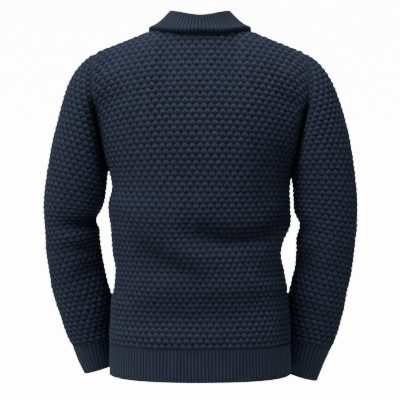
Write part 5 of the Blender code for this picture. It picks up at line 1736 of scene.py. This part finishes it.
def backdrop_material():
    """Plain pale paper with a painted glow behind the object in place of a lamp-lit studio backdrop."""
    nodes = Nodes("pale_floor")
    spot = nodes.object_place()
    grain = nodes.noise(spot, 6.0, 2.0)
    tone = nodes.ramp(grain, ((0.2, (0.56, 0.56, 0.57, 1.0)), (0.8, (0.60, 0.60, 0.60, 1.0))))
    place = nodes.axes(spot)
    behind = nodes.smooth(nodes.math("MULTIPLY", place["Y"], -1.0), *GLOW_START)
    beside = nodes.smooth(nodes.math("ABSOLUTE", place["X"]), *GLOW_WIDTH)
    above = nodes.smooth(place["Z"], *GLOW_TOP)
    near = nodes.math("MULTIPLY", behind, nodes.math("SUBTRACT", 1.0, beside))
    near = nodes.math("MULTIPLY", near, nodes.math("SUBTRACT", 1.0, above))
    # Painted light: the paper glows by itself, strongly behind the object and faintly everywhere
    nodes.put(Base_Color=tone, Roughness=0.95, Emission_Color=(1.0, 1.0, 1.0, 1.0),
              Emission_Strength=nodes.math("MULTIPLY_ADD", near, BACKDROP_GLOW, FLOOR_GLOW))
    return nodes.material


def make_backdrop():
    """A pale floor that rises in a soft curve all round the object."""
    middle = (FRONT_WALL_DEPTH - WALL_DEPTH) / 2
    reach = (FRONT_WALL_DEPTH + WALL_DEPTH) / 2
    rims = [(reach - COVE_RADIUS + COVE_RADIUS * math.sin(bend), COVE_RADIUS * (1.0 - math.cos(bend)))
            for bend in np.linspace(0.0, math.pi / 2, COVE_STEPS + 1)] + [(reach, WALL_TOP)]
    points = []
    for out, rise in rims:
        for spot in circle(BOWL_SIDES, Vector((1.0, 0.0, 0.0)), Vector((0.0, 1.0, 0.0))):
            points.append(out * spot + Vector((0.0, middle, FLOOR_Z + rise)))
    faces = [tuple(range(BOWL_SIDES - 1, -1, -1))] + tube_faces(len(rims), BOWL_SIDES, ends=False)
    mesh = bpy.data.meshes.new("pale_floor")
    mesh.from_pydata(points, [], faces)
    made = place_mesh("pale_floor", mesh, backdrop_material())
    mesh.polygons[0].use_smooth = False


def add_light(name, place, size, power, colour):
    """One soft box turned towards the object."""
    lamp = bpy.data.lights.new(name, "AREA")
    lamp.shape = "RECTANGLE"
    lamp.size, lamp.size_y = size
    lamp.energy = power
    lamp.color = colour
    made = place_object(name, lamp)
    made.location = place
    made.rotation_mode = "QUATERNION"
    made.rotation_quaternion = (Vector(LIGHT_AIM) - made.location).to_track_quat("-Z", "Y")


def light_scene():
    """Soft boxes up on the left of the view, a weak one on the right, and pale surroundings."""
    for row in LIGHTS:
        add_light(*row)
    world = bpy.data.worlds.new("surroundings")
    world.use_nodes = True
    back = world.node_tree.nodes["Background"]
    back.inputs["Color"].default_value = (0.95, 0.97, 1.0, 1.0)
    back.inputs["Strength"].default_value = WORLD_LIGHT
    bpy.context.scene.world = world


def place_camera():
    """The photograph's level view of the back."""
    lens = bpy.data.cameras.new("camera")
    lens.lens = CAMERA_LENS
    lens.sensor_width = 36.0
    lens.clip_start = 0.05
    lens.clip_end = 30.0
    made = place_object("camera", lens)
    made.location = (0.0, CAMERA_DISTANCE, CAMERA_HEIGHT)
    made.rotation_euler = (math.radians(90.0), 0.0, math.radians(180.0))
    bpy.context.scene.camera = made


def settle(piece, node):
    """Attach a piece to the root and hide the imported solid of the node it stands for."""
    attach(piece, "root")
    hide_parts(node)


def build_cloth():
    """Every cloth piece, each in its yarn."""
    knit = knit_material("bubble_knit_yarn", *KNIT_YARN, bubbled=True)
    rib = knit_material("rib_knit_yarn", *RIB_YARN, bubbled=False)
    settle(make_back(knit), "back")
    for side, (hand, rows, *_) in SIDES.items():
        settle(make_front("front_%s_knit" % side, hand, rows, knit), "front_" + side)
    for side, (hand, rows, _, *tables) in SIDES.items():
        sleeve = make_sleeve("sleeve_%s_knit" % side, rows, *tables, hand, knit)
        settle(sleeve, "sleeve_" + side)
    for side, (hand, _, cuff_rows, *_) in SIDES.items():
        settle(make_cuff("cuff_%s_rib" % side, cuff_rows, hand, rib), "cuff_" + side)
    section = lambda height, shares: half_ring(height, 1, shares)
    settle(make_hem("hem_back_rib", section, 1.0, HEM_BACK_WIDTH, rib), "hem_back")
    for side, (hand, *_) in SIDES.items():
        section = lambda height, shares: front_section(height, shares, hand)
        hem = make_hem("hem_front_%s_rib" % side, section, -1.0, HEM_FRONT_WIDTH, rib)
        settle(hem, "hem_front_" + side)
    for side, (hand, *_) in SIDES.items():
        settle(make_band("band_%s_rib" % side, hand, rib), "band_" + side)
    settle(make_collar(rib), "collar")


def build_buttons():
    """The buttons and their threads."""
    plastic = button_material()
    for number, height in enumerate(BUTTON_HEIGHTS, start=1):
        node = "button_%d" % number
        settle(make_button(node + "_disc", height, plastic), node)
    threads = make_threads(thread_material())
    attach(threads, "root")


place_camera()
light_scene()
make_backdrop()
build_cloth()
build_buttons()
